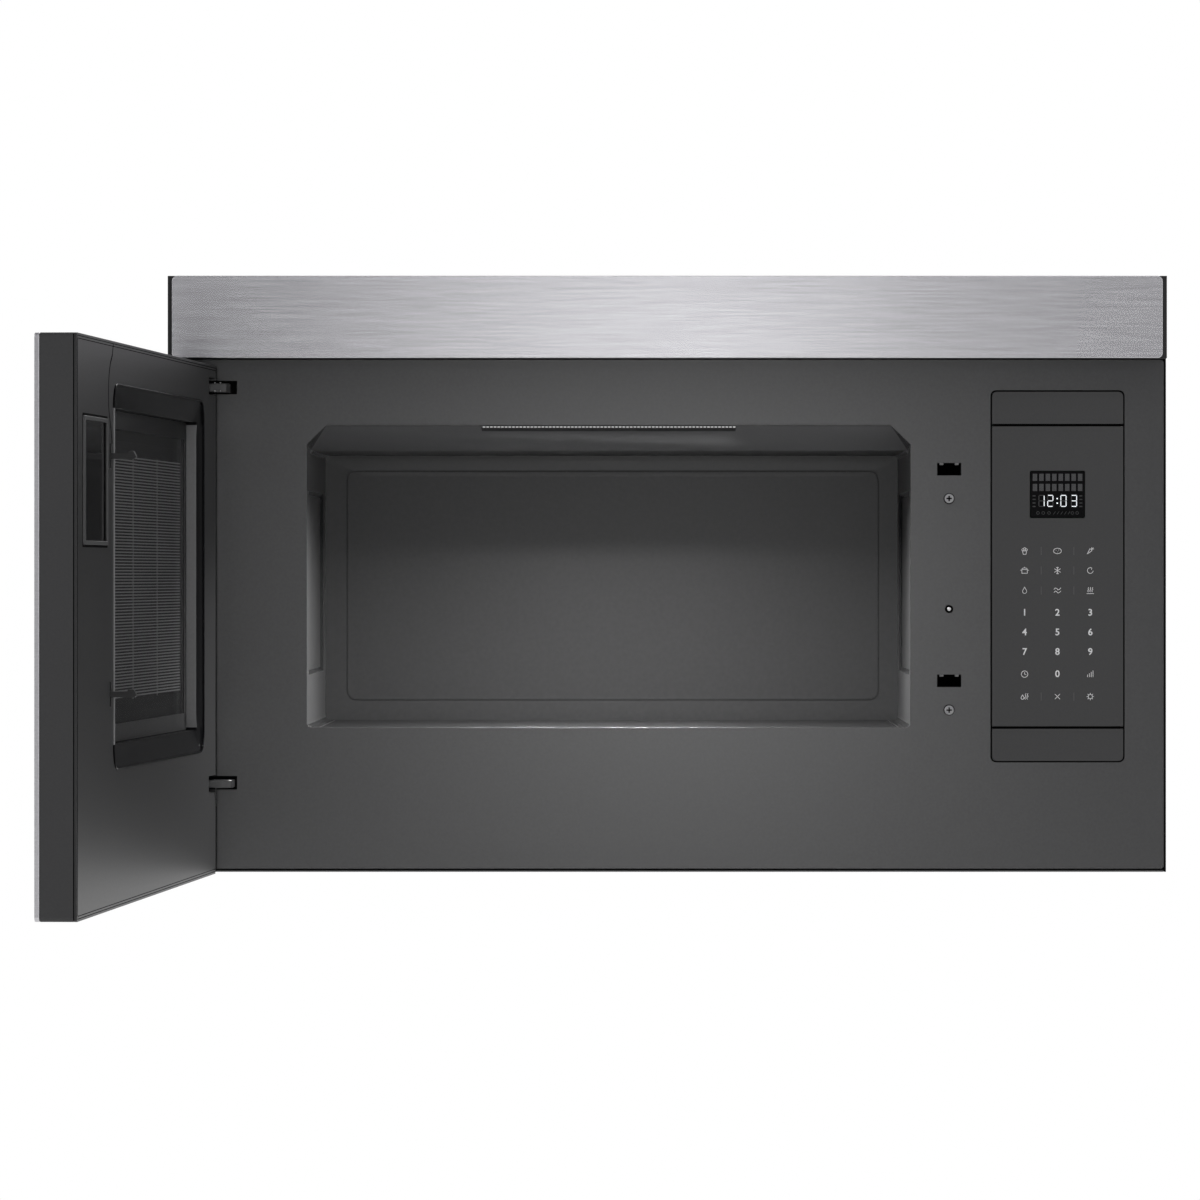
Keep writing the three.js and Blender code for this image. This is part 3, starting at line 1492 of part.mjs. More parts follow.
// ---------------------------------------------------------------- hood blower
const wheelGap = BLOWER_MOTOR_LENGTH / 2 + BLOWER_MOTOR_GAP + SCROLL_WALL + SCROLL_SIDE_GAP;

// Outline of the snail housing seen from the side: round behind, with a flat outlet in front.
function scrollShape(inset) {
  const radius = SCROLL_RADIUS - inset;
  const shape = new THREE.Shape();
  const top = blowerZ + radius;
  const low = top - SCROLL_OUTLET_HEIGHT + inset * 2;
  const start = Math.asin((low - blowerZ) / radius);
  const mouth = BLOWER_Y - SCROLL_OUTLET_FRONT - (inset > 0 ? CUT : 0);
  shape.moveTo(mouth, top);
  shape.lineTo(mouth, low);
  shape.lineTo(BLOWER_Y - radius * Math.cos(start), low);
  shape.absarc(BLOWER_Y, blowerZ, radius, Math.PI - start, Math.PI * 2.5);
  return shape;
}

function scrollRange(side) {
  const near = stirrerX + side * (wheelGap - SCROLL_SIDE_GAP - SCROLL_WALL);
  const far = stirrerX + side * (wheelGap + WHEEL_WIDTH + SCROLL_SIDE_GAP + SCROLL_WALL);
  return side > 0 ? [near, far] : [far, near];
}

function blowerScroll(side) {
  const [left, right] = scrollRange(side);
  const hollow = [left + SCROLL_WALL, right - SCROLL_WALL];
  const outer = extrude(scrollShape(0), 'x', left, right, SOME);
  const inner = extrude(scrollShape(SCROLL_WALL), 'x', ...hollow, SOME);
  const inlet = rod('x', BLOWER_Y, blowerZ, SCROLL_INLET_RADIUS, left - CUT, right + CUT, MANY);
  const foot = block(
    left,
    right,
    BLOWER_Y - SADDLE_HALF,
    BLOWER_Y + SADDLE_HALF,
    ceiling + CAVITY_SHEET + FIT,
    blowerZ - SCROLL_RADIUS + SCROLL_WALL * 2,
  );
  return cut(join(outer, foot), inner, inlet);
}

// A squirrel cage wheel: a hub disc towards the motor, blades and an end ring.
function blowerWheel(side) {
  const near = stirrerX + side * wheelGap;
  const far = stirrerX + side * (wheelGap + WHEEL_WIDTH);
  const [left, right] = side > 0 ? [near, far] : [far, near];
  const discLeft = side > 0 ? left : right - WHEEL_DISC;
  const ringLeft = side > 0 ? right - WHEEL_DISC : left;
  const hubLeft = side > 0 ? left : right - WHEEL_HUB_LENGTH;
  const disc = rod('x', BLOWER_Y, blowerZ, WHEEL_RADIUS, discLeft, discLeft + WHEEL_DISC, MANY);
  const ring = tube(
    'x',
    BLOWER_Y,
    blowerZ,
    WHEEL_RADIUS,
    WHEEL_RADIUS - WHEEL_BLADE_CHORD,
    ringLeft,
    ringLeft + WHEEL_DISC,
    MANY,
  );
  const hub = rod('x', BLOWER_Y, blowerZ, WHEEL_HUB_RADIUS, hubLeft, hubLeft + WHEEL_HUB_LENGTH);
  const bore = shaftBore(left, right);
  const blades = [];
  for (let i = 0; i < WHEEL_BLADES; i += 1) {
    const shape = bladeShape((Math.PI * 2 * i) / WHEEL_BLADES);
    blades.push(extrude(shape, 'x', left + WHEEL_DISC / 2, right - WHEEL_DISC / 2));
  }
  return cut(join(disc, ring, hub, ...blades), bore);
}

// One forward-swept blade, as a thin strip between the two radii of the blade ring.
function bladeShape(angle) {
  const inner = WHEEL_RADIUS - WHEEL_BLADE_CHORD + WHEEL_BLADE_INSET;
  const outer = WHEEL_RADIUS - WHEEL_BLADE_INSET;
  const half = WHEEL_BLADE_THICKNESS / 2;
  const at = (radius, turn, side) => [
    BLOWER_Y + radius * Math.cos(turn) - side * half * Math.sin(turn),
    blowerZ + radius * Math.sin(turn) + side * half * Math.cos(turn),
  ];
  const swept = angle + WHEEL_BLADE_SWEEP;
  return polygon([
    at(inner, angle, -1),
    at(outer, swept, -1),
    at(outer, swept, 1),
    at(inner, angle, 1),
  ]);
}

function shaftBore(left, right) {
  const radius = BLOWER_SHAFT_RADIUS + SHAFT_CLEARANCE;
  return rod('x', BLOWER_Y, blowerZ, radius, left - CUT, right + CUT);
}

function blowerShaft() {
  const reach = wheelGap + WHEEL_WIDTH / 2;
  return rod('x', BLOWER_Y, blowerZ, BLOWER_SHAFT_RADIUS, stirrerX - reach, stirrerX + reach);
}

// The blower motor stands between the two housings, on a saddle from the cavity top.
function blowerMotor() {
  const left = stirrerX - BLOWER_MOTOR_LENGTH / 2;
  const right = stirrerX + BLOWER_MOTOR_LENGTH / 2;
  const can = [left + MOTOR_END_BELL, right - MOTOR_END_BELL];
  const body = rod('x', BLOWER_Y, blowerZ, BLOWER_MOTOR_RADIUS, ...can, MANY);
  const bells = rod('x', BLOWER_Y, blowerZ, MOTOR_BELL_RADIUS, left, right, MANY);
  const saddle = block(
    ...can,
    BLOWER_Y - SADDLE_HALF,
    BLOWER_Y + SADDLE_HALF,
    ceiling + CAVITY_SHEET + FIT,
    blowerZ - BLOWER_MOTOR_RADIUS / 2,
  );
  return cut(join(body, bells, saddle), shaftBore(left, right));
}

const ductLeft = scrollRange(-1)[0];
const ductRight = scrollRange(1)[1];
const ductTop = blowerZ + SCROLL_RADIUS + DUCT_WALL;
const ductFoot = blowerZ + SCROLL_RADIUS - SCROLL_OUTLET_HEIGHT - DUCT_WALL;
const ductBack = BLOWER_Y - SCROLL_OUTLET_FRONT - FIT;
const charcoalBack = panelFace + FIT + CHARCOAL_THICKNESS;
const ductFront = charcoalBack + FIT;

function outletDuct() {
  const outer = block(ductLeft, ductRight, ductFront, ductBack, ductFoot, ductTop);
  const inner = block(
    ductLeft + DUCT_WALL,
    ductRight - DUCT_WALL,
    ductFront - CUT,
    ductBack + CUT,
    ductFoot + DUCT_WALL,
    ductTop - DUCT_WALL,
  );
  return cut(outer, inner);
}

// The charcoal filter cartridge: a frame with a slatted face, standing in front of the duct.
function charcoalFilter() {
  const front = panelFace + FIT;
  const outer = block(ductLeft, ductRight, front, charcoalBack, ductFoot, ductTop);
  const cells = [];
  const span = (ductRight - ductLeft - CHARCOAL_FRAME * 2) / CHARCOAL_CELLS;
  for (let i = 0; i < CHARCOAL_CELLS; i += 1) {
    const left = ductLeft + CHARCOAL_FRAME + span * i;
    cells.push(block(
      left + DUCT_WALL,
      left + span - DUCT_WALL,
      front - CUT,
      front + CHARCOAL_THICKNESS / 3,
      ductFoot + CHARCOAL_FRAME,
      ductTop - CHARCOAL_FRAME,
    ));
  }
  return cut(outer, ...cells);
}

// The plate that closes the roof vent while the hood blows forward.
function roofBlank() {
  const top = caseTop - SHEET - FIT;
  const left = stirrerX - ROOF_VENT_WIDTH / 2 - BLANK_BORDER;
  const right = stirrerX + ROOF_VENT_WIDTH / 2 + BLANK_BORDER;
  const front = -ROOF_VENT_BACK - ROOF_VENT_DEPTH - BLANK_BORDER;
  const back = -ROOF_VENT_BACK + BLANK_BORDER;
  return block(left, right, front, back, top - SHEET, top);
}

// Sheet ducts at both sides of the cavity take the air from the filters up to the blower.
function sideDuct(side) {
  const far = side * (panelHalf - FIT);
  const near = side * (panelHalf - FIT - SIDE_DUCT_WIDTH);
  const [left, right] = side > 0 ? [near, far] : [far, near];
  const low = baseTop + FILTER_THICKNESS + FIT * 3;
  const outer = block(left, right, -SIDE_DUCT_FRONT, -SIDE_DUCT_BACK, low, sideDuctTop);
  const inner = block(
    left + DUCT_WALL,
    right - DUCT_WALL,
    -SIDE_DUCT_FRONT + DUCT_WALL,
    -SIDE_DUCT_BACK - DUCT_WALL,
    low - CUT,
    sideDuctTop + CUT,
  );
  return cut(outer, inner);
}

// ---------------------------------------------------------------- underside
// A grease filter: an aluminium frame round a thin pad that is pressed into ribs.
function greaseFilter(side) {
  const [left, right] = filterRange(side);
  const front = -FILTER_BACK - FILTER_WIDTH;
  const back = -FILTER_BACK;
  const low = baseTop + FIT;
  const high = low + FILTER_THICKNESS;
  const frame = extrude(roundedRect(left, right, front, back, FILTER_CORNER), 'z', low, high);
  const above = block(
    left + FILTER_FRAME,
    right - FILTER_FRAME,
    front + FILTER_FRAME,
    back - FILTER_FRAME,
    low + FILTER_PAD,
    high + CUT,
  );
  const pitch = (FILTER_WIDTH - FILTER_FRAME * 2) / FILTER_RIBS;
  const grooves = [];
  for (let i = 0; i < FILTER_RIBS; i += 1) {
    const start = front + FILTER_FRAME + pitch * (i + 0.25);
    grooves.push(block(
      left + FILTER_FRAME,
      right - FILTER_FRAME,
      start,
      start + pitch / 2,
      low - CUT,
      low + FILTER_PAD / 2,
    ));
  }
  return cut(frame, above, ...grooves);
}

function cooktopLamp(side) {
  const x = side * lampX;
  const low = baseTop + LAMP_LENS + FIT * 2;
  const housing = extrude(
    roundedRect(
      x - LAMP_LENGTH / 2,
      x + LAMP_LENGTH / 2,
      lampY - LAMP_WIDTH / 2,
      lampY + LAMP_WIDTH / 2,
      LAMP_CORNER,
    ),
    'z',
    low,
    low + LAMP_HEIGHT,
    2,
  );
  const hollow = block(
    x - LAMP_LENGTH / 2 + LAMP_BORDER,
    x + LAMP_LENGTH / 2 - LAMP_BORDER,
    lampY - LAMP_WIDTH / 2 + LAMP_BORDER,
    lampY + LAMP_WIDTH / 2 - LAMP_BORDER,
    low - CUT,
    low + LAMP_HEIGHT - SHEET,
  );
  return cut(housing, hollow);
}

// The lamp lens: a clear plate with a raised window that fills the hole in the base plate.
function lampLens(side) {
  const x = side * lampX;
  const low = baseTop + FIT;
  const flange = extrude(
    roundedRect(
      x - LAMP_LENGTH / 2,
      x + LAMP_LENGTH / 2,
      lampY - LAMP_WIDTH / 2,
      lampY + LAMP_WIDTH / 2,
      LAMP_CORNER,
    ),
    'z',
    low,
    low + LAMP_LENS,
    2,
  );
  const inset = LAMP_BORDER + FIT;
  const window = extrude(
    roundedRect(
      x - LAMP_LENGTH / 2 + inset,
      x + LAMP_LENGTH / 2 - inset,
      lampY - LAMP_WIDTH / 2 + inset,
      lampY + LAMP_WIDTH / 2 - inset,
      LAMP_CORNER - FIT,
    ),
    'z',
    caseFoot + FIT,
    low + LAMP_LENS / 2,
    2,
  );
  return join(flange, window);
}

// The cord gland in the top: a bush that ends flush, with its collar under the sheet.
function cordGland() {
  const top = caseTop;
  const collar = caseTop - SHEET - FIT;
  const neck = rod('z', glandX, GLAND_Y, GLAND_RADIUS, top - GLAND_HEIGHT, top);
  const flange = rod('z', glandX, GLAND_Y, GLAND_COLLAR_RADIUS, collar - GLAND_COLLAR, collar);
  const bore = rod('z', glandX, GLAND_Y, GLAND_BORE, top - GLAND_HEIGHT - CUT, top + CUT);
  return cut(join(neck, flange), bore);
}

// ---------------------------------------------------------------- door, drawn closed
const doorLeft = -doorHalf;
const doorRight = doorHalf;
const frameFront = frontFace + DOOR_SKIN + FIT;
const skinEdge = frontFace + DOOR_SKIN_RETURN;
const windowFloor = innerFace - SURROUND_DEPTH;
const springRoom = SPRING_RADIUS + SPRING_WIRE + SPRING_CLEARANCE;
const springMiddle = innerPanelFront - springRoom;
const glassLeft = doorLeft + GLASS_BORDER_SIDE;
const glassRight = doorRight - GLASS_BORDER_SIDE;
const glassTop = doorTop - GLASS_BORDER_TOP;
const glassFoot = doorBottom + GLASS_BORDER_BOTTOM;

// Everything in the door stays inside this form, whose rear left edge is round.
function doorEnvelope() {
  const shape = new THREE.Shape();
  shape.moveTo(doorLeft, frontFace - CUT);
  shape.lineTo(doorRight + CUT, frontFace - CUT);
  shape.lineTo(doorRight + CUT, innerFace);
  shape.lineTo(doorLeft + DOOR_HEEL_RADIUS, innerFace);
  shape.absarc(
    doorLeft + DOOR_HEEL_RADIUS,
    innerFace - DOOR_HEEL_RADIUS,
    DOOR_HEEL_RADIUS,
    Math.PI / 2,
    Math.PI,
  );
  return extrude(shape, 'z', doorBottom - CUT, doorTop + CUT, 4);
}

function doorSlab(inset, from, to) {
  return extrude(
    roundedRect(
      doorLeft + inset,
      doorRight - inset,
      doorBottom + inset,
      doorTop - inset,
      DOOR_CORNER - inset,
    ),
    'y',
    from,
    to,
    2,
  );
}

// The two openings in the hinge edge that the arms reach into.
function hingeNotches() {
  return hingeHeights.map((z) => block(
    doorLeft - CUT,
    hingeNotchRight,
    skinEdge + HINGE_NOTCH_SKIN,
    innerFace + CUT,
    z - HINGE_NOTCH_HEIGHT / 2,
    z + HINGE_NOTCH_HEIGHT / 2,
  ));
}

function windowForm(inset, from, to) {
  return extrude(
    roundedRect(
      windowLeft + inset,
      windowRight - inset,
      windowBottom + inset,
      windowTop - inset,
      Math.max(WINDOW_CORNER - inset, SMALL_CORNER),
    ),
    'y',
    from,
    to,
    2,
  );
}

function lensForm(grow, from, to) {
  return block(lensLeft - grow, lensRight + grow, from, to, lensBottom - grow, lensTop + grow);
}

// The stainless door skin, bent back at its edges, with the opening for the front glass.
function doorSkin() {
  const outer = doorSlab(0, frontFace, skinEdge);
  const inner = doorSlab(DOOR_SKIN, frontFace + DOOR_SKIN, skinEdge + CUT);
  const opening = extrude(
    roundedRect(glassLeft, glassRight, glassFoot, glassTop, GLASS_CORNER),
    'y',
    frontFace - CUT,
    frontFace + DOOR_SKIN + CUT,
    2,
  );
  return cut(outer, inner, opening);
}

function doorGlass() {
  return extrude(
    roundedRect(
      glassLeft + FIT,
      glassRight - FIT,
      glassFoot + FIT,
      glassTop - FIT,
      GLASS_CORNER - FIT,
    ),
    'y',
    frontFace + FIT,
    frontFace + FIT + GLASS_THICKNESS,
    2,
  );
}

// The moulded door frame fills the skin from behind. It has the glass seat, the window and
// display openings, the channel of the latch bar and the hinge notches with their pin holes.
function doorFrame() {
  const rim = doorSlab(0, skinEdge + FIT, innerPanelFront - FIT);
  const tongue = doorSlab(DOOR_SKIN + FIT, frameFront, skinEdge + CUT);
  const glassSeat = extrude(
    roundedRect(glassLeft, glassRight, glassFoot, glassTop, GLASS_CORNER),
    'y',
    frameFront - CUT,
    frontFace + FIT * 2 + GLASS_THICKNESS,
    2,
  );
  const windowHole = windowForm(-FIT, windowFloor - FIT, innerFace + CUT);
  const sightHole = windowForm(SURROUND_SLOPE + SURROUND_LEDGE, frontFace, windowFloor + CUT);
  const lensHole = lensForm(-LENS_LEDGE, frontFace, innerFace + CUT);
  const lensSeat = lensForm(FIT, innerFace - LENS_DEPTH - LENS_THICKNESS - FIT, innerFace + CUT);
  const channel = block(
    latchX - LATCH_BAR_WIDTH / 2 - FIT,
    latchX + LATCH_BAR_WIDTH / 2 + FIT,
    innerPanelFront - FIT * 2 - LATCH_BAR_THICKNESS,
    innerFace + CUT,
    latchLowerZ - LATCH_BAR_OVERRUN - SPRING_LENGTH - FIT * 2,
    latchUpperZ + LATCH_BAR_OVERRUN + LATCH_TRAVEL + FIT,
  );
  const springPocket = block(
    latchX - springRoom,
    latchX + springRoom,
    springMiddle - springRoom,
    innerFace + CUT,
    latchLowerZ - LATCH_BAR_OVERRUN - SPRING_LENGTH - FIT * 2,
    latchLowerZ - LATCH_BAR_OVERRUN,
  );
  const pinHoles = hingeHeights.map((z) => rod(
    'z',
    hingeX,
    hingeY,
    HINGE_PIN_RADIUS + HINGE_PIN_CLEARANCE,
    z - HINGE_NOTCH_HEIGHT / 2 - HINGE_PIN_GRIP - FIT,
    z + HINGE_NOTCH_HEIGHT / 2 + HINGE_PIN_GRIP + FIT,
    HINGE_PIN_SIDES,
  ));
  const body = join(rim, tongue).intersect(doorEnvelope());
  return cut(
    body,
    glassSeat,
    windowHole,
    sightHole,
    lensHole,
    lensSeat,
    channel,
    springPocket,
    ...hingeNotches(),
    ...pinHoles,
  );
}

// The flat inner panel that faces the cavity front, with the choke behind it.
function doorInnerPanel() {
  const plate = doorSlab(0, innerPanelFront, innerFace).intersect(doorEnvelope());
  const through = [innerPanelFront - CUT, innerFace + CUT];
  const hookSlots = latchCentres.map((z) => block(
    latchX - HOOK_SLOT_WIDTH / 2,
    latchX + HOOK_SLOT_WIDTH / 2,
    ...through,
    z - HOOK_SLOT_HEIGHT / 2,
    z + HOOK_SLOT_HEIGHT / 2,
  ));
  return cut(
    plate,
    windowForm(0, ...through),
    lensForm(FIT, ...through),
    ...hookSlots,
    ...hingeNotches(),
  );
}

// The gloss black surround: a sloped border, then a straight wall down to the window floor.
function windowSurround() {
  const slopeInset = SURROUND_SLOPE;
  const outside = windowForm(FIT, windowFloor, innerFace);
  const slope = loft(
    framePoints(
      windowLeft + slopeInset,
      windowRight - slopeInset,
      windowBottom + slopeInset,
      windowTop - slopeInset,
      SURROUND_CORNER - SURROUND_STEP,
      innerFace - SURROUND_STEP,
    ),
    framePoints(
      windowLeft + SURROUND_WALL,
      windowRight - SURROUND_WALL,
      windowBottom + SURROUND_WALL,
      windowTop - SURROUND_WALL,
      SURROUND_CORNER,
      innerFace + FIT,
    ),
  );
  const well = windowForm(slopeInset, windowFloor + SURROUND_WALL, innerFace);
  const sight = windowForm(slopeInset + SURROUND_LEDGE, windowFloor - CUT, innerFace);
  return cut(outside, slope, well, sight);
}

function innerPane() {
  const face = windowFloor + SURROUND_WALL + FIT + PANE_THICKNESS;
  return windowForm(SURROUND_SLOPE + FIT, face - PANE_THICKNESS, face);
}

// The window screen lies in front of the frame's sight opening, pressed with shallow ribs.
function windowScreen() {
  const inset = SURROUND_SLOPE + SURROUND_LEDGE + FIT;
  const back = windowFloor - FIT;
  const sheetBody = windowForm(inset, back - SCREEN_THICKNESS, back);
  const grooves = [];
  const low = windowBottom + inset + SCREEN_RIB_PITCH;
  const high = windowTop - inset - SCREEN_RIB_PITCH;
  const count = Math.floor((high - low) / SCREEN_RIB_PITCH);
  for (let i = 0; i < count; i += 1) {
    const z = low + SCREEN_RIB_PITCH * (i + 0.5);
    grooves.push(block(
      windowLeft + inset + SCREEN_RIB_PITCH,
      windowRight - inset - SCREEN_RIB_PITCH,
      back - SCREEN_THICKNESS / 2,
      back + CUT,
      z - SCREEN_RIB_PITCH / 4,
      z + SCREEN_RIB_PITCH / 4,
    ));
  }
  return cut(sheetBody, ...grooves);
}

function displayLens() {
  const face = innerFace - LENS_DEPTH;
  return lensForm(0, face - LENS_THICKNESS, face);
}

// The latch bar: a flat strip in its channel, with two long hooks that reach out of the door.
function latchBar() {
  const back = innerPanelFront - FIT;
  const front = back - LATCH_BAR_THICKNESS;
  const bar = block(
    latchX - LATCH_BAR_WIDTH / 2,
    latchX + LATCH_BAR_WIDTH / 2,
    front,
    back,
    latchLowerZ - LATCH_BAR_OVERRUN,
    latchUpperZ + LATCH_BAR_OVERRUN,
  );
  const across = [latchX - HOOK_WIDTH / 2, latchX + HOOK_WIDTH / 2];
  const hooks = latchCentres.map((z) => extrude(hookShape(z, back - FIT), 'x', ...across));
  return join(bar, ...hooks);
}

// Side view of a hook: an arm with a ramped nose that rises at its tip.
function hookShape(z, root) {
  const tip = innerFace + HOOK_LENGTH;
  const low = z - LATCH_SLOT_HEIGHT / 2 + LATCH_TRAVEL + FIT * 2;
  const high = low + HOOK_HEIGHT;
  return polygon([
    [root, low],
    [tip - HOOK_TIP, low],
    [tip, low + HOOK_TIP],
    [tip - HOOK_NOSE / 3, high + HOOK_TIP],
    [tip - HOOK_NOSE, high + HOOK_TIP],
    [tip - HOOK_NOSE, high],
    [root, high],
  ]);
}

// The coil spring under the bar, as one tube along a helix.
function latchSpring() {
  const top = latchLowerZ - LATCH_BAR_OVERRUN - FIT;
  const low = top - SPRING_LENGTH + FIT;
  const rise = top - low - SPRING_WIRE * 2;
  const steps = SPRING_TURNS * SPRING_STEPS;
  const rings = [];
  for (let i = 0; i <= steps; i += 1) {
    const turn = (i / SPRING_STEPS) * Math.PI * 2;
    const middle = low + SPRING_WIRE + (rise * i) / steps;
    const ring = [];
    for (let k = 0; k < SPRING_SIDES; k += 1) {
      const around = (k / SPRING_SIDES) * Math.PI * 2;
      const radius = SPRING_RADIUS + SPRING_WIRE * Math.cos(around);
      ring.push([
        latchX + radius * Math.cos(turn),
        springMiddle + radius * Math.sin(turn),
        middle + SPRING_WIRE * Math.sin(around),
      ]);
    }
    rings.push(ring);
  }
  return solidOf(ringTube(rings));
}

// A closed tube through rings of equally many points.
function ringTube(rings) {
  const sides = rings[0].length;
  const index = [];
  for (let i = 0; i < rings.length - 1; i += 1) {
    for (let k = 0; k < sides; k += 1) {
      const a = i * sides + k;
      const b = i * sides + ((k + 1) % sides);
      index.push(a, a + sides, b);
      index.push(b, a + sides, b + sides);
    }
  }
  const end = (rings.length - 1) * sides;
  for (let k = 1; k < sides - 1; k += 1) {
    index.push(0, k, k + 1);
    index.push(end, end + k + 1, end + k);
  }
  const geometry = new THREE.BufferGeometry();
  geometry.setAttribute('position', new THREE.Float32BufferAttribute(rings.flat(2), 3));
  geometry.setIndex(index);
  return geometry;
}

// ---------------------------------------------------------------- assembly
addPiece('cabinet_wrap', cabinetWrap(), 'blackSheet');
addPiece('back_plate', backPlate(), 'zincSheet');
addPiece('base_plate', basePlate(), 'greyEnamel');
addPiece('front_panel', frontPanel(), 'greyEnamel');
addPiece('oven_cavity', ovenCavity(), 'cavityEnamel');
addPiece('cavity_floor_plate', floorPlate(), 'ceramic');
addPiece('cavity_light_strip', lightStrip(), 'lampLens');
addPiece('stirrer', stirrer(), 'aluminium');
addPiece('stirrer_motor', stirrerMotor(), 'zincSheet');
addPiece('waveguide', waveguide(), 'zincSheet');
addPiece('magnetron', magnetron(), 'steel');
addPiece('cooling_fan_shroud', fanShroud(), 'zincSheet');
addPiece('cooling_fan_motor', fanMotor(), 'steel');
addPiece('cooling_fan', coolingFan(), 'darkPlastic');
addPiece('high_voltage_transformer', transformer(), 'copper');
addPiece('high_voltage_capacitor', capacitor(), 'aluminium');
addPiece('latch_housing', latchHousing(), 'darkPlastic');
addPiece('door_sense_plunger', sensePlunger(), 'whitePlastic');
addPiece('interlock_switch_upper', microSwitch(latchUpperZ), 'darkPlastic');
addPiece('interlock_switch_lower', microSwitch(latchLowerZ), 'darkPlastic');
addPiece('panel_screw_upper', panelScrew(latchUpperZ - SCREW_DROP), 'steel');
addPiece('panel_screw_lower', panelScrew(latchLowerZ - SCREW_DROP), 'steel');
addPiece('control_upper_cap', controlTile(upperSeam, controlTop), 'keyPanel');
addPiece('control_key_panel', keyPanel(), 'keyPanel');
addPiece('control_lower_cap', controlTile(controlBottom, lowerSeam), 'keyPanel');
addPiece('display_window', displayHole(-FIT, controlFace + FIT, controlBack), 'smokedGlass');
addPiece('control_tray', controlTray(), 'darkPlastic');
addPiece('control_board', controlBoard(), 'board');
addPiece('hinge_arm_upper', hingeArm(hingeUpperZ), 'blackSheet');
addPiece('hinge_arm_lower', hingeArm(hingeLowerZ), 'blackSheet');
addPiece('vent_trim', trimSkin(), 'stainless');
addPiece('vent_grille', ventGrille(), 'darkPlastic');
addPiece('blower_scroll_left', blowerScroll(-1), 'zincSheet');
addPiece('blower_scroll_right', blowerScroll(1), 'zincSheet');
addPiece('blower_motor', blowerMotor(), 'steel');
addPiece('blower_shaft', blowerShaft(), 'steel');
addPiece('blower_wheel_left', blowerWheel(-1), 'aluminium');
addPiece('blower_wheel_right', blowerWheel(1), 'aluminium');
addPiece('outlet_duct', outletDuct(), 'zincSheet');
addPiece('charcoal_filter', charcoalFilter(), 'charcoal');
addPiece('roof_vent_blank', roofBlank(), 'zincSheet');
addPiece('air_duct_left', sideDuct(-1), 'zincSheet');
addPiece('air_duct_right', sideDuct(1), 'zincSheet');
addPiece('grease_filter_left', greaseFilter(-1), 'aluminium');
addPiece('grease_filter_right', greaseFilter(1), 'aluminium');
addPiece('cooktop_lamp_left', cooktopLamp(-1), 'whitePlastic');
addPiece('cooktop_lamp_right', cooktopLamp(1), 'whitePlastic');
addPiece('cooktop_lens_left', lampLens(-1), 'lampLens');
addPiece('cooktop_lens_right', lampLens(1), 'lampLens');
addPiece('cord_gland', cordGland(), 'darkPlastic');

// The door turns about its hinge pins; it is drawn closed and swung open here.
const doorSwing = new THREE.Group();
doorSwing.position.set(hingeX, hingeY, 0);
doorSwing.rotation.z = THREE.MathUtils.degToRad(-DOOR_OPEN_ANGLE);
const door = new THREE.Group();
door.position.set(-hingeX, -hingeY, 0);
doorSwing.add(door);
model.add(doorSwing);

addPiece('door_skin', doorSkin(), 'stainless', door);
addPiece('door_glass', doorGlass(), 'smokedGlass', door);
addPiece('door_frame', doorFrame(), 'darkPlastic', door);
addPiece('door_inner_panel', doorInnerPanel(), 'greyEnamel', door);
addPiece('window_surround', windowSurround(), 'glossBlack', door);
addPiece('window_pane', innerPane(), 'smokedGlass', door);
addPiece('window_screen', windowScreen(), 'steel', door);
addPiece('display_lens', displayLens(), 'smokedGlass', door);
addPiece('latch_bar', latchBar(), 'darkPlastic', door);
addPiece('latch_spring', latchSpring(), 'steel', door);

export default model;
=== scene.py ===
import json
import math

import bmesh
import bpy
from mathutils import Matrix, Vector

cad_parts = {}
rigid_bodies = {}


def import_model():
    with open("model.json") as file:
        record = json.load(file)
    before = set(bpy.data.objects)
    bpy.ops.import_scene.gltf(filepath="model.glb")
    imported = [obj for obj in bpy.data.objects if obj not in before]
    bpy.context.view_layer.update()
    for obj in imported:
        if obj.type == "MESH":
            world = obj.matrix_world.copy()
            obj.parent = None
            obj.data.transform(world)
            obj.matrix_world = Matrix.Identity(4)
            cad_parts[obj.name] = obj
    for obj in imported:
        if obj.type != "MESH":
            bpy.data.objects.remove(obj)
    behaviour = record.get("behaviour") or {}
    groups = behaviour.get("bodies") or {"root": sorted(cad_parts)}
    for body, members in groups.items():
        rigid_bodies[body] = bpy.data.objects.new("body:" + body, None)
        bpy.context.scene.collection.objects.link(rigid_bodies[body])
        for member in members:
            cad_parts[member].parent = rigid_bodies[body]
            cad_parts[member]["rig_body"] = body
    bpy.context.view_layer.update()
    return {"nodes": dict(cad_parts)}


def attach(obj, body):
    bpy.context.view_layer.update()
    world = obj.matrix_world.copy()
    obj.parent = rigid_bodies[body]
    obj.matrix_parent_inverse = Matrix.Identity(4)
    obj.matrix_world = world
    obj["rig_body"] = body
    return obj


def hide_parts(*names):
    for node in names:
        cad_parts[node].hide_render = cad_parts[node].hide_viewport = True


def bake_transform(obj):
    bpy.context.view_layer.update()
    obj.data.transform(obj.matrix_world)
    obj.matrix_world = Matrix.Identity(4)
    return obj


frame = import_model()
nodes = frame["nodes"]
scene = bpy.context.scene

